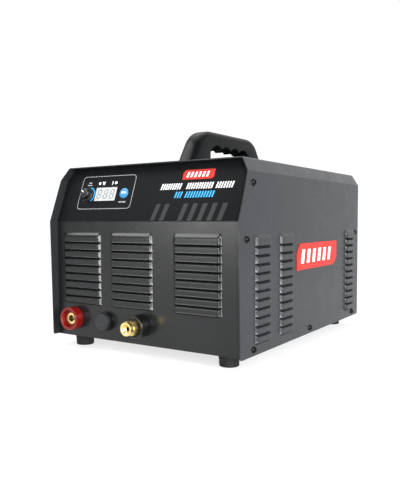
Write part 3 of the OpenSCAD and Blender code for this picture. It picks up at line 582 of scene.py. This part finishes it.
def build_cover():
    """Wrap-round cover: two louvred sides, the bevels and the roof in one bent sheet."""
    bm = bmesh.new()
    low = Z_ROOF - BEVEL_H
    corners = [(CASE_HALF, low - 2.5 * MM), (CASE_HALF, low), (CASE_HALF - BEVEL_W, Z_ROOF), (0, Z_ROOF)]
    fold = soften(corners, 2.2 * MM, 4)
    half = [(p.x, p.y) for p in fold[:-1]]
    profile = half + [(-x, z) for x, z in half[::-1]]
    join_z = profile[0][1]
    outline = side_outline(join_z)
    sides = []
    for matrix, sign in ((RIGHT, 1), (LEFT, -1)):
        holes = []
        for begin in SIDE_LOUVRES["starts"]:
            y0 = Y_FRONT + begin * MM
            length = SIDE_LOUVRES["length"] * MM
            start = y0 if sign > 0 else -(y0 + length)
            holes.append(louvre_column(bm, matrix, start, length, slot_heights(SIDE_LOUVRES),
                                       SIDE_LOUVRES["gap"]))
        sides.append((matrix, sign, holes))
    pressed = len(bm.verts)
    for matrix, sign, holes in sides:
        plate(bm, matrix, [(sign * y, z) for y, z in outline], holes)
    rows = []
    for x, z in profile:
        y0 = slope_front(z)
        rows.append([bm.verts.new(Vector((x, y0 + (Y_REAR - y0) * k / 4, z))) for k in range(5)])
    for one, two in zip(rows, rows[1:]):
        for k in range(4):
            bm.faces.new((one[k], one[k + 1], two[k + 1], two[k]))
    weld(bm, pressed)
    # The inner faces of the sheet take the darker copy of the cover paint, as painted shade.
    piece("case_cover", bm, "cover_paint", stands_for=("wrap_cover",), angle=40, closed=False,
          thickness=SHEET, inner="cover_inside_painted_shade", flat=True)


def build_front_panel():
    """Front sheet: the louvred lower plate, the crease, and the leaning upper plate."""
    bm = bmesh.new()
    half = CASE_HALF - SHEET
    roll = 1.5 * MM
    holes = []
    for begin in FRONT_LOUVRES["starts"]:
        holes.append(louvre_column(bm, FRONT, begin * MM, FRONT_LOUVRES["length"] * MM,
                                   slot_heights(FRONT_LOUVRES), FRONT_LOUVRES["gap"]))
    pressed = len(bm.verts)
    brink = CREASE_Z - roll
    plate(bm, FRONT, [(-half, Z_CASE), (half, Z_CASE), (half, brink), (-half, brink)], holes)
    top = (Z_ROOF - SHEET - CREASE_Z) / math.cos(LEAN)
    shoulder = (Z_ROOF - BEVEL_H - SHEET / 2 - CREASE_Z) / math.cos(LEAN)
    narrow = CASE_HALF - BEVEL_W - SHEET / 2
    plate(bm, SLOPE, [(-half, roll), (half, roll), (half, shoulder), (narrow, top), (-narrow, top),
                      (-half, shoulder)], [])
    lower = FRONT @ Vector((0, brink, 0))
    upper = SLOPE @ Vector((0, roll, 0))
    crease = Vector((0, PANEL_Y, CREASE_Z))
    bend = [lower.lerp(crease, t).lerp(crease.lerp(upper, t), t) for t in (0, .2, .4, .6, .8, 1)]
    rows = [[bm.verts.new(Vector((s * half, p.y, p.z))) for s in (-1, 1)] for p in bend]
    for one, two in zip(rows, rows[1:]):
        bm.faces.new((one[0], one[1], two[1], two[0]))
    weld(bm, pressed)
    piece("front_sheet", bm, "panel_paint", stands_for=("front_panel",), angle=40, closed=False,
          thickness=SHEET, flat=True)


# ---------------- handle, feet and screws

def handle_outline():
    """Side outline of the handle: leaning legs, round shoulders, and the grip with finger grooves."""
    lo, hi = box("handle")
    length, height = hi.y - lo.y, hi.z - lo.z
    centre = (lo.y + hi.y) / 2
    gap_front, gap_rear, gap_top = -56 * MM, 49 * MM, 27.5 * MM
    rise, groove_r, pitch, end_r, groove_shift = 4.5 * MM, 17 * MM, 24 * MM, 1.5 * MM, 4 * MM
    front_lean, rear_lean = math.radians(30), math.radians(33.7)
    front_shoulder, rear_shoulder, shoulder_steps, groove_steps = 24 * MM, 20 * MM, 14, 56
    front = Vector((-length / 2 + height * math.tan(front_lean), height - 0.5 * MM))
    rear = Vector((length / 2 - height * math.tan(rear_lean), height))
    top = (front + rear) / 2
    outer = soften([Vector((-length / 2, 0)), front, top], front_shoulder, shoulder_steps)
    outer += soften([top, rear, Vector((length / 2, 0))], rear_shoulder, shoulder_steps)[1:]
    under = []
    for k in range(groove_steps + 1):
        u = gap_front + end_r + (gap_rear - gap_front - 2 * end_r) * k / groove_steps
        near = min(abs(u + groove_shift - i * pitch) for i in (-1.5, -0.5, 0.5, 1.5))
        groove = gap_top + rise - groove_r + math.sqrt(groove_r ** 2 - min(near, groove_r * .9) ** 2)
        under.append((u, max(gap_top, groove)))
    inner = [(gap_rear, 0), (gap_rear, gap_top * .45), (gap_rear - .3 * MM, gap_top * .8)] + under[::-1]
    inner += [(gap_front + .3 * MM, gap_top * .8), (gap_front, gap_top * .45), (gap_front, 0)]
    path = [(p[0] + centre, p[1] + lo.z) for p in outer] + [(p[0] + centre, p[1] + lo.z) for p in inner]
    return path, len(outer), lo, hi


def inward(path):
    """Unit normals that point into an outline drawn clockwise."""
    out = []
    for i in range(len(path)):
        a, b = Vector(path[i - 1]), Vector(path[(i + 1) % len(path)])
        along = (b - a).normalized()
        out.append(Vector((along.y, -along.x)))
    return out


def build_handle():
    """Handle with a rounded section: the outline is drawn in step by step towards each side."""
    path, outer_count, lo, hi = handle_outline()
    normals = inward(path)
    half = (hi.x - lo.x) / 2
    steps, outer_r, inner_r, foot = 7, 8 * MM, 2.2 * MM, 0.5 * MM
    bm = bmesh.new()
    rows = []
    for k in range(-steps, steps + 1):
        turn = math.pi / 2 * abs(k) / steps
        row = []
        for i, (p, n) in enumerate(zip(path, normals)):
            base = p[1] - lo.z < foot
            radius = outer_r if i < outer_count else inner_r
            drawn = radius * (1 - math.cos(turn))
            moved_to = Vector(p) + (Vector((n.x * drawn, 0)) if base else n * drawn)
            if not base:
                moved_to.y = max(moved_to.y, lo.z)
            x = math.copysign(half - radius + radius * math.sin(turn), k) if k else 0.0
            row.append(bm.verts.new(Vector((x, moved_to.x, moved_to.y))))
        rows.append(row)
    count = len(path)
    for one, two in zip(rows, rows[1:]):
        for i in range(count):
            j = (i + 1) % count
            bm.faces.new((one[i], one[j], two[j], two[i]))
    bm.faces.new(rows[0][::-1])
    bm.faces.new(rows[-1])
    piece("carry_handle", bm, "handle_plastic", stands_for=("handle",), angle=50)


def build_feet():
    """Four round rubber feet, narrower below, with a hollow for the screw."""
    bm = bmesh.new()
    lo, hi = box("rubber_feet")
    radius, height = 12 * MM, hi.z - lo.z
    profile = soften([(0, height), (radius, height), (radius, height * .62), (radius * .96, height * .55),
                      (radius * .93, 0), (radius * .62, 0), (radius * .55, height * .25),
                      (0, height * .25)], 1.2 * MM, 4)
    for x in (lo.x + radius, hi.x - radius):
        for y in (lo.y + radius, hi.y - radius):
            lathe(bm, Matrix.Translation((x, y, lo.z)), profile, 56)
    piece("feet", bm, "rubber", stands_for=("rubber_feet",), angle=50)


def cross_head(bm, matrix, radius, height):
    """A pan head with a cross recess, on a local frame whose Z points out of the surface."""
    rings, segments = 9, 40
    grid = []
    for k in range(rings + 1):
        share = math.sin(math.pi / 2 * k / rings)
        grid.append((radius * share, height * math.sqrt(max(0.0, 1 - share ** 2.6))))
    slot_w, slot_l, depth = radius * .15, radius * .62, height * .75
    top = bm.verts.new(matrix @ Vector((0, 0, height - depth)))
    previous = None
    for r, h in grid[1:]:
        ring = []
        for i in range(segments):
            a = 2 * math.pi * i / segments
            px, py = r * math.cos(a), r * math.sin(a)
            cut = (abs(px) < slot_w and abs(py) < slot_l) or (abs(py) < slot_w and abs(px) < slot_l)
            up = h - depth * (1 - .5 * r / slot_l) if cut else h
            ring.append(bm.verts.new(matrix @ Vector((px, py, up))))
        for i in range(segments):
            j = (i + 1) % segments
            if previous is None:
                bm.faces.new((top, ring[i], ring[j]))
            else:
                bm.faces.new((previous[i], ring[i], ring[j], previous[j]))
        previous = ring
    turns = [2 * math.pi * i / segments for i in range(segments)]
    foot = [bm.verts.new(matrix @ Vector((radius * math.cos(a), radius * math.sin(a), -0.1 * MM)))
            for a in turns]
    for i in range(segments):
        j = (i + 1) % segments
        bm.faces.new((previous[i], foot[i], foot[j], previous[j]))
    bm.faces.new(foot[::-1])


def build_cover_screws():
    """Heads of the screws that hold the cover, each turned its own way."""
    bm = bmesh.new()
    height = box("cover_screws")[1].x - CASE_HALF
    for along, up in SIDE_SCREWS:
        y, z = Y_FRONT + along * MM, Z_CASE + up * MM
        for matrix, sign in ((RIGHT, 1), (LEFT, -1)):
            turn = Matrix.Rotation(math.radians(17 + along), 4, "Z")
            cross_head(bm, moved(matrix, sign * y, z) @ turn, 4 * MM, height)
    piece("cover_screw_heads", bm, "black_steel", stands_for=("cover_screws",), angle=40)


# ---------------- front connectors

def connector(node):
    """Local frame on the front panel at a connector's axis."""
    centre = middle(node)
    return moved(FRONT, centre.x, centre.z)


def build_work_socket():
    """Red socket: a thick round wall with a rounded rim round a deep dish."""
    lo, hi = box("work_socket_body")
    matrix = connector("work_socket_body")
    radius = (hi.x - lo.x) / 2
    out = PANEL_Y - lo.y
    dish, wall = 7 * MM, 3.4 * MM
    neck, seat, floor = 11 * MM, 7.2 * MM, out - dish
    profile = [(neck, -3 * MM), (neck, 0), (radius, 0), (radius, out), (radius - wall, out),
               (radius - wall - 0.6 * MM, floor), (seat, floor), (seat, floor - 3 * MM)]
    bm = bmesh.new()
    lathe(bm, matrix, soften(profile, 1.1 * MM, 4), 80)
    piece("work_socket", bm, "socket_red", stands_for=("work_socket_body",), angle=50, closed=False)


def build_torch_collar():
    """Black collar round the torch connector, with a shallow step in its face."""
    lo, hi = box("torch_collar")
    radius = (hi.x - lo.x) / 2
    out = PANEL_Y - lo.y
    profile = [(9 * MM, 0), (radius, 0), (radius - .1 * MM, out * .55), (radius - .4 * MM, out),
               (radius - 3.2 * MM, out), (radius - 3.8 * MM, out - 1.2 * MM), (6.1 * MM, out - 1.2 * MM)]
    bm = bmesh.new()
    lathe(bm, connector("torch_collar"), soften(profile, 0.9 * MM, 4), 80)
    piece("torch_socket_collar", bm, "black_plastic", stands_for=("torch_collar",), angle=50, closed=False)


def build_control_socket():
    """Trigger socket flange, and the flat cap that pulls off it."""
    lo, hi = box("control_socket")
    matrix = connector("control_socket")
    radius, flange = (hi.x - lo.x) / 2, 3 * MM
    barrel, bore, end, floor = 8.6 * MM, 7 * MM, 6 * MM, 1 * MM
    profile = [(5 * MM, 0), (radius, 0), (radius, flange), (barrel, flange), (barrel, end), (bore, end),
               (bore, floor), (0, floor)]
    bm = bmesh.new()
    lathe(bm, matrix, soften(profile, 0.7 * MM, 3), 64)
    piece("trigger_socket", bm, "black_plastic", angle=50, closed=False)

    lo, hi = box("control_socket_cap")
    radius, base, out = (hi.x - lo.x) / 2, PANEL_Y - hi.y, PANEL_Y - lo.y
    ribs, rib_depth, step = 24, 0.25 * MM, .5 * MM

    def ribbed(r, _, turn):
        """Shallow ribs round the rim."""
        on_rim = r > radius - 0.1 * MM
        return r - rib_depth * (1 + math.cos(turn * ribs)) / 2 if on_rim else r
    profile = [(8.7 * MM, base), (radius, base), (radius, out), (radius - 1.6 * MM, out),
               (radius - 2 * MM, out - step), (0, out - step)]
    bm = bmesh.new()
    lathe(bm, matrix, soften(profile, 0.6 * MM, 3), 96, ribbed)
    piece("trigger_socket_cap", bm, "cap_grey", body="socket_cap", stands_for=("control_socket_cap",),
          angle=50, closed=False)


# ---------------- controls on the leaning panel

def on_slope(node):
    """(across, up the slope) of the middle of a node on the leaning panel."""
    local = SLOPE.inverted() @ middle(node)
    return local.x, local.y


def build_knob():
    """Fluted knob with a white pointer, turned to where it rests."""
    lo, hi = box("current_knob")
    x, s = on_slope("current_knob")
    radius, height = (hi.x - lo.x) / 2, 9 * MM
    matrix = moved(SLOPE, x, s, FILM)
    flutes = 18

    def fluted(r, h, a):
        """Flutes along the grip."""
        grip = 1.2 * MM < h < height - 1.4 * MM and r > radius - 1.4 * MM
        return r - 0.4 * MM * (0.5 + 0.5 * math.cos(a * flutes)) if grip else r
    profile = [(0, .2 * MM), (radius, .2 * MM), (radius, 1.2 * MM), (radius - .9 * MM, 1.8 * MM),
               (radius - 1.2 * MM, height - 1.2 * MM), (radius - 2 * MM, height), (0, height)]
    bm = bmesh.new()
    lathe(bm, matrix, soften(profile, 0.5 * MM, 3), 108, fluted)
    piece("current_knob_body", bm, "knob_black", body="knob", stands_for=("current_knob",), angle=45)
    turn = Matrix.Rotation(math.radians(60), 4, "Z")
    bm = bmesh.new()
    prism(bm, matrix @ turn, rounded_rect(0, 3.6 * MM, 1.1 * MM, 4.4 * MM, .5 * MM), height - .2 * MM,
          height + .12 * MM)
    piece("current_knob_pointer", bm, "knob_black", body="knob", finish="print_white")


def build_button():
    """Round button with three short slanted marks."""
    lo, hi = box("test_button")
    x, s = on_slope("test_button")
    radius = (hi.x - lo.x) / 2
    height = FILM + 1.3 * MM
    rim = radius - .3 * MM
    matrix = moved(SLOPE, x, s)
    profile = [(0, -2 * MM), (rim, -2 * MM), (rim, height - .2 * MM), (radius - 1.2 * MM, height),
               (0, height + .25 * MM)]
    bm = bmesh.new()
    lathe(bm, matrix, soften(profile, .5 * MM, 3), 72)
    piece("test_button_cap", bm, "button_blue", body="button", stands_for=("test_button",), angle=45)
    bm = bmesh.new()
    mark_w, mark_h, pitch, lean = 1.6 * MM, 2 * MM, 2.4 * MM, .8 * MM
    for i in (-1, 0, 1):
        outline = slanted(i * pitch - mark_w / 2 - .3 * MM, -.8 * MM, mark_w, mark_h, lean)
        prism(bm, matrix, outline, height, height + .32 * MM)
    piece("test_button_mark", bm, "button_blue", body="button", finish="print_white")


def segment_digit(bm, matrix, cx, cy, w, h, bar, lit, low, high):
    """A seven-segment digit, as slanted bars."""
    slant = 0.10
    half_h = h / 2
    upper, lower, left, right = cy + half_h / 2, cy - half_h / 2, cx - w / 2, cx + w / 2
    flat, tall = (w - bar, bar), (bar, half_h - bar)
    bars = {
        "a": (cx, cy + half_h, *flat), "g": (cx, cy, *flat), "d": (cx, cy - half_h, *flat),
        "f": (left, upper, *tall), "b": (right, upper, *tall),
        "e": (left, lower, *tall), "c": (right, lower, *tall),
    }
    for key in lit:
        x, y, bw, bh = bars[key]
        outline = [(px + slant * (py - cy), py) for px, py in rounded_rect(x, y, bw, bh, bar * .4, 2)]
        prism(bm, matrix, outline, low, high)


def build_display():
    """Window with three digits and dividers between them, in a thin black frame."""
    lo, hi = box("display_window")
    x, s = on_slope("display_window")
    width, height, frame_w, pitch = hi.x - lo.x, 18 * MM, 1.2 * MM, 10.6 * MM
    pane = rounded_rect(x, s, width, height, .8 * MM)
    bm = bmesh.new()
    prism(bm, SLOPE, pane, FILM - .4 * MM, FILM + .1 * MM)
    piece("display_pane", bm, "window_white", stands_for=("display_window",))
    bm = bmesh.new()
    ring_prism(bm, SLOPE, rounded_rect(x, s, width + frame_w, height + frame_w, 1.2 * MM), pane,
               FILM - .1 * MM, FILM + .35 * MM)
    piece("display_frame", bm, "panel_film", finish="black_plastic")
    bm = bmesh.new()
    for i in (-1, 0, 1):
        segment_digit(bm, SLOPE, x + i * pitch, s, 5.4 * MM, 11.4 * MM, 1.15 * MM, "abcdefg",
                      FILM + .08 * MM, FILM + .2 * MM)
    piece("display_digits", bm, "window_white", finish="print_digit")
    bm = bmesh.new()
    for i in (-.5, .5):
        line = rounded_rect(x + i * pitch, s, .35 * MM, height * .92, .1 * MM)
        prism(bm, SLOPE, line, FILM, FILM + .16 * MM)
    piece("display_dividers", bm, "window_white", finish="print_grey")


# Indicators on the leaning panel: (across, up the slope), millimetres
LED_UP, ROUND_LEDS = 50.8, (-79, -52)
VEE_LED = ((-74.6, 53), (-72.9, 48.4), (-71.1, 48.4), (-69.4, 53), (-71.2, 53), (-72, 50.6), (-72.8, 53))
BAR_LED = ((-58.1, 48.2), (-56.9, 48.2), (-56.9, 53.4), (-58.1, 53.4))


def build_leds():
    """Indicator lenses: two round ones, a V and a bar, as raised light pipes."""
    radius = 2.1 * MM
    dome = [(0, -2 * MM), (radius, -2 * MM), (radius, FILM + .1 * MM), (radius - .4 * MM, FILM + .45 * MM),
            (0, FILM + .6 * MM)]
    bm = bmesh.new()
    for across in ROUND_LEDS:
        lathe(bm, moved(SLOPE, across * MM, LED_UP * MM), soften(dome, .4 * MM, 3), 32)
    for outline in (VEE_LED, BAR_LED):
        prism(bm, SLOPE, [(x * MM, y * MM) for x, y in outline], -1 * MM, FILM + .3 * MM)
    piece("led_lenses", bm, "led_lens", stands_for=("indicator_leds",), angle=50)


def slanted(x0, y0, w, h, slant):
    """A parallelogram that leans to its right."""
    return [(x0, y0), (x0 + w, y0), (x0 + w + slant, y0 + h), (x0 + slant, y0 + h)]


def strokes(x0, x1, y0, y1, pitch, width, skipped):
    """A row of plain slanted strokes, with some left out, in place of a name. Millimetres."""
    lean = (y1 - y0) * 0.24
    count = int((x1 - x0) / pitch)
    return [slanted((x0 + i * pitch) * MM, y0 * MM, width * MM, (y1 - y0) * MM, lean * MM)
            for i in range(count) if i not in skipped]


def print_on_film(name, finish, outlines):
    """Raises a thin film of ink over each outline on the leaning panel."""
    bm = bmesh.new()
    for outline in outlines:
        prism(bm, SLOPE, outline, *INK)
    piece(name, bm, "panel_film", finish=finish)


# Control frame (across, up, width, height) and captions (across, up, width, height), millimetres
CONTROL_FRAME = (-65.2, 38.5, 88.3, 44.8)
CAPTIONS = ((-100, 48.2, 8, 1.3), (-98, 51.3, 5, 1.3), (-41, 24.2, 4.4, 1.5), (-36, 24.2, 6, 1.5))
# Rows of strokes: from and to across, from and to up the slope, pitch, width, and strokes left out
STROKES = (("name_strokes", "print_white", (20, 120, 38.8, 46.2, 3.3, 1.7, (9, 10, 22))),
           ("second_strokes", "print_blue", (42, 99, 28.2, 35.8, 3.6, 2.0, (3,))),
           ("ghost_strokes", "print_ghost", (14, 118, .5, 21, 13, 6.2, (2,))))


def build_film_graphics():
    """Printed marks on the film: control frame, scale, captions, and plain strokes in place of names."""
    x, s, w, h = (v * MM for v in CONTROL_FRAME)
    line = 0.7 * MM
    bm = bmesh.new()
    outer = rounded_rect(x, s, w, h, 6 * MM, 8)
    inner = rounded_rect(x, s, w - 2 * line, h - 2 * line, 5.4 * MM, 8)
    ring_prism(bm, SLOPE, outer, inner, *INK)
    piece("control_frame_line", bm, "panel_film", finish="print_grey")

    knob_x, knob_s = on_slope("current_knob")
    outer = arc(knob_x, knob_s, 10.6 * MM, 80, -55, 20)
    inner = arc(knob_x, knob_s, 8.9 * MM, -55, 80, 20)
    print_on_film("scale_arc", "print_blue", [outer + inner])
    dots = []
    for angle in range(100, 250, 25):
        a = math.radians(angle)
        spot = (knob_x + 9.8 * MM * math.cos(a), knob_s + 9.8 * MM * math.sin(a))
        dots.append(arc(*spot, .45 * MM, 0, 330, 11))
    print_on_film("scale_dots", "print_grey", dots)
    captions = [slanted(*(v * MM for v in caption), 0) for caption in CAPTIONS]
    print_on_film("panel_captions", "print_grey", captions)
    for name, finish, row in STROKES:
        print_on_film(name, finish, strokes(*row))


def bars_on_badge(name, matrix, x0, x1, y0, y1, lean, height, count):
    """Plain slanted white bars in place of a name."""
    bm = bmesh.new()
    pitch = (x1 - x0) / count
    for i in range(count):
        prism(bm, matrix, slanted(x0 + i * pitch, y0, pitch * .48, y1 - y0, lean), height - .05 * MM,
              height + .05 * MM)
    piece(name, bm, "badge_red", finish="print_white")


def build_badges():
    """Plain bars on the red plates of the film and of both sides."""
    lo, hi = box("front_badge")
    inverse = SLOPE.inverted()
    low, high = (inverse @ Vector((0, lo.y, lo.z))).y, (inverse @ Vector((0, hi.y, hi.z))).y
    edge = 3 * MM
    bars_on_badge("front_badge_bars", SLOPE, lo.x + 5 * MM, hi.x - 5.5 * MM, low + edge, high - edge,
                  1.6 * MM, FILM + 0.6 * MM, 6)
    lo, hi = box("side_badges")
    out, edge = hi.x - CASE_HALF, 8 * MM
    for name, matrix, sign in (("side_badge_bars_right", RIGHT, 1), ("side_badge_bars_left", LEFT, -1)):
        a, b = sorted((sign * lo.y, sign * hi.y))
        bars_on_badge(name, matrix, a + 12 * MM, b - 17 * MM, lo.z + edge, hi.z - edge, 4 * MM, out, 6)


def build_rocker_marks():
    """Plain on and off signs printed on the two halves of the rocker's face."""
    rocker = frame["nodes"]["power_rocker"]
    lo, hi = box("power_rocker")
    bm = bmesh.new()
    bm.from_mesh(rocker.data)
    bm.transform(rocker.matrix_world)
    tree = BVHTree.FromBMesh(bm)
    bm.free()
    bm = bmesh.new()
    low, high = -.1 * MM, .06 * MM
    for share, sign in ((0.26, "off"), (0.74, "on")):
        start = Vector(((lo.x + hi.x) / 2, hi.y + 5 * MM, lo.z + (hi.z - lo.z) * share))
        spot, normal = tree.ray_cast(start, -Y)[:2]
        across = -X
        matrix = place(spot, across, normal.cross(across))
        if sign == "on":
            prism(bm, matrix, rounded_rect(0, 0, 1.1 * MM, 5 * MM, .3 * MM), low, high)
        else:
            outer, inner = (arc(0, 0, r * MM, 0, 350, 35) for r in (2.6, 1.7))
            ring_prism(bm, matrix, outer, inner, low, high)
    piece("rocker_marks", bm, "rocker_red", body="rocker", finish="print_white")


# ---------------- CAD nodes that stay as they are

KEEP_SHARP = {"power_board", "control_board", "bus_capacitors", "air_hoses", "mains_leads", "output_leads",
              "choke_winding", "choke_core", "fan_rotor", "fan_grille", "heatsinks", "power_transistors"}


def finish_cad_nodes():
    """Gives each CAD node the material of its slot, smooth round faces and slightly broken edges."""
    for name, obj in frame["nodes"].items():
        material = MATERIALS[SLOT_OF[name]]
        obj.data.materials.clear()
        obj.data.materials.append(material)
        for polygon in obj.data.polygons:
            polygon.material_index = 0
        shade(obj.data, 32)
        if name not in KEEP_SHARP:
            edge = obj.modifiers.new("broken_edges", "BEVEL")
            edge.width, edge.segments, edge.limit_method = 0.25 * MM, 2, "ANGLE"
            edge.angle_limit = math.radians(50)
            edge.harden_normals = True


# ---------------- light, floor and camera

AIM = (0, 0, 0.12)
# Area lights: where each one stands, its width and height in metres, and its power in watts
LIGHTS = {
    "strip": ((1.15, -1.45, 0.5), (0.4, 0.96), 44),
    "side_strip": ((1.5, -0.55, 0.4), (0.12, 0.76), 30),
    "left_fill": ((-0.95, -1.95, 0.3), (0.6, 0.4), 7),
    "top": ((-1.0, -0.7, 1.45), (1.1, 0.7), 16),
}
SUN_ENERGY, SUN_ANGLE, SUN_TILT = 1.2, 60, (-14, -10, 0)
FLOOR_REACH, FLOOR_GLOW = 12.0, 0.66


def area_light(name, location, size, power):
    """A rectangular light that faces the middle of the object."""
    data = bpy.data.lights.new(name, "AREA")
    data.shape, data.size, data.size_y = "RECTANGLE", *size
    data.energy = power
    obj = new_object(name, data)
    obj.location = location
    obj.rotation_mode = "QUATERNION"
    obj.rotation_quaternion = (Vector(AIM) - Vector(location)).to_track_quat("-Z", "Y")


def build_floor():
    """Wide pale floor with a faint glow of its own, which keeps the shadow light."""
    bm = bmesh.new()
    corners = ((-1, -1), (1, -1), (1, 1), (-1, 1))
    bm.faces.new([bm.verts.new((x * FLOOR_REACH, y * FLOOR_REACH, 0)) for x, y in corners])
    mesh = bpy.data.meshes.new("floor")
    bm.to_mesh(mesh)
    bm.free()
    material = printed("floor_white", "969696", 0.8, spec=0.1)
    shader = material.node_tree.nodes["Principled BSDF"]
    shader.inputs["Emission Color"].default_value = (1, 1, 1, 1)
    shader.inputs["Emission Strength"].default_value = FLOOR_GLOW
    mesh.materials.append(material)
    floor = new_object("floor", mesh)


def build_lights():
    """Area lights, and a soft light from overhead."""
    for name, (location, size, power) in LIGHTS.items():
        area_light(name, location, size, power)
    sun = bpy.data.lights.new("overhead", "SUN")
    sun.energy, sun.angle = SUN_ENERGY, math.radians(SUN_ANGLE)
    new_object("overhead", sun).rotation_euler = [math.radians(a) for a in SUN_TILT]


# The backdrop: which way its bright side lies, where it starts and stops to fade, and its strength
BACKDROP_SIDE = (-0.25, 0.95, 0.1)
BACKDROP_FADE, BACKDROP_STRENGTH = (-0.35, 0.45), (0.3, 1.05)


def build_world():
    """White backdrop behind the object that fades to a darker room on the camera's side."""
    world = bpy.data.worlds.new("studio")
    world.use_nodes = True
    nodes, links = world.node_tree.nodes, world.node_tree.links
    coords = nodes.new("ShaderNodeTexCoord")
    along = nodes.new("ShaderNodeVectorMath")
    along.operation = "DOT_PRODUCT"
    along.inputs[1].default_value = Vector(BACKDROP_SIDE).normalized()
    links.new(coords.outputs["Generated"], along.inputs[0])
    fade = nodes.new("ShaderNodeMapRange")
    fade.interpolation_type = "SMOOTHSTEP"
    fade.inputs["From Min"].default_value, fade.inputs["From Max"].default_value = BACKDROP_FADE
    fade.inputs["To Min"].default_value, fade.inputs["To Max"].default_value = BACKDROP_STRENGTH
    links.new(along.outputs["Value"], fade.inputs["Value"])
    background = nodes["Background"]
    background.inputs["Color"].default_value = (1, 1, 1, 1)
    links.new(fade.outputs["Result"], background.inputs["Strength"])
    bpy.context.scene.world = world


CAMERA_AT = (0.4400, -0.7169, 0.1639)
CAMERA_YAW, CAMERA_PITCH, CAMERA_ROLL = 33.344, 3.057, -0.246
LENS, SENSOR = 42.4, 36


def build_camera():
    """Camera at the photograph's viewing angle."""
    data = bpy.data.cameras.new("camera")
    data.lens, data.sensor_width, data.clip_start = LENS, SENSOR, 0.01
    camera = new_object("camera", data)
    yaw, pitch, roll = (math.radians(a) for a in (CAMERA_YAW, CAMERA_PITCH, CAMERA_ROLL))
    ahead = Vector((-math.sin(yaw) * math.cos(pitch), math.cos(yaw) * math.cos(pitch), -math.sin(pitch)))
    right = Vector((math.cos(yaw), math.sin(yaw), 0))
    up = right.cross(ahead)
    across = right * math.cos(roll) + up * math.sin(roll)
    upward = -right * math.sin(roll) + up * math.cos(roll)
    turned = Matrix((across, upward, -ahead)).transposed().to_4x4()
    camera.matrix_world = Matrix.Translation(CAMERA_AT) @ turned
    bpy.context.scene.camera = camera


bpy.context.scene.view_settings.view_transform = "Standard"
finish_cad_nodes()
build_cover()
build_front_panel()
build_handle()
build_feet()
build_cover_screws()
build_work_socket()
build_torch_collar()
build_control_socket()
build_knob()
build_button()
build_display()
build_leds()
build_film_graphics()
build_badges()
build_rocker_marks()
build_floor()
build_world()
build_lights()
build_camera()
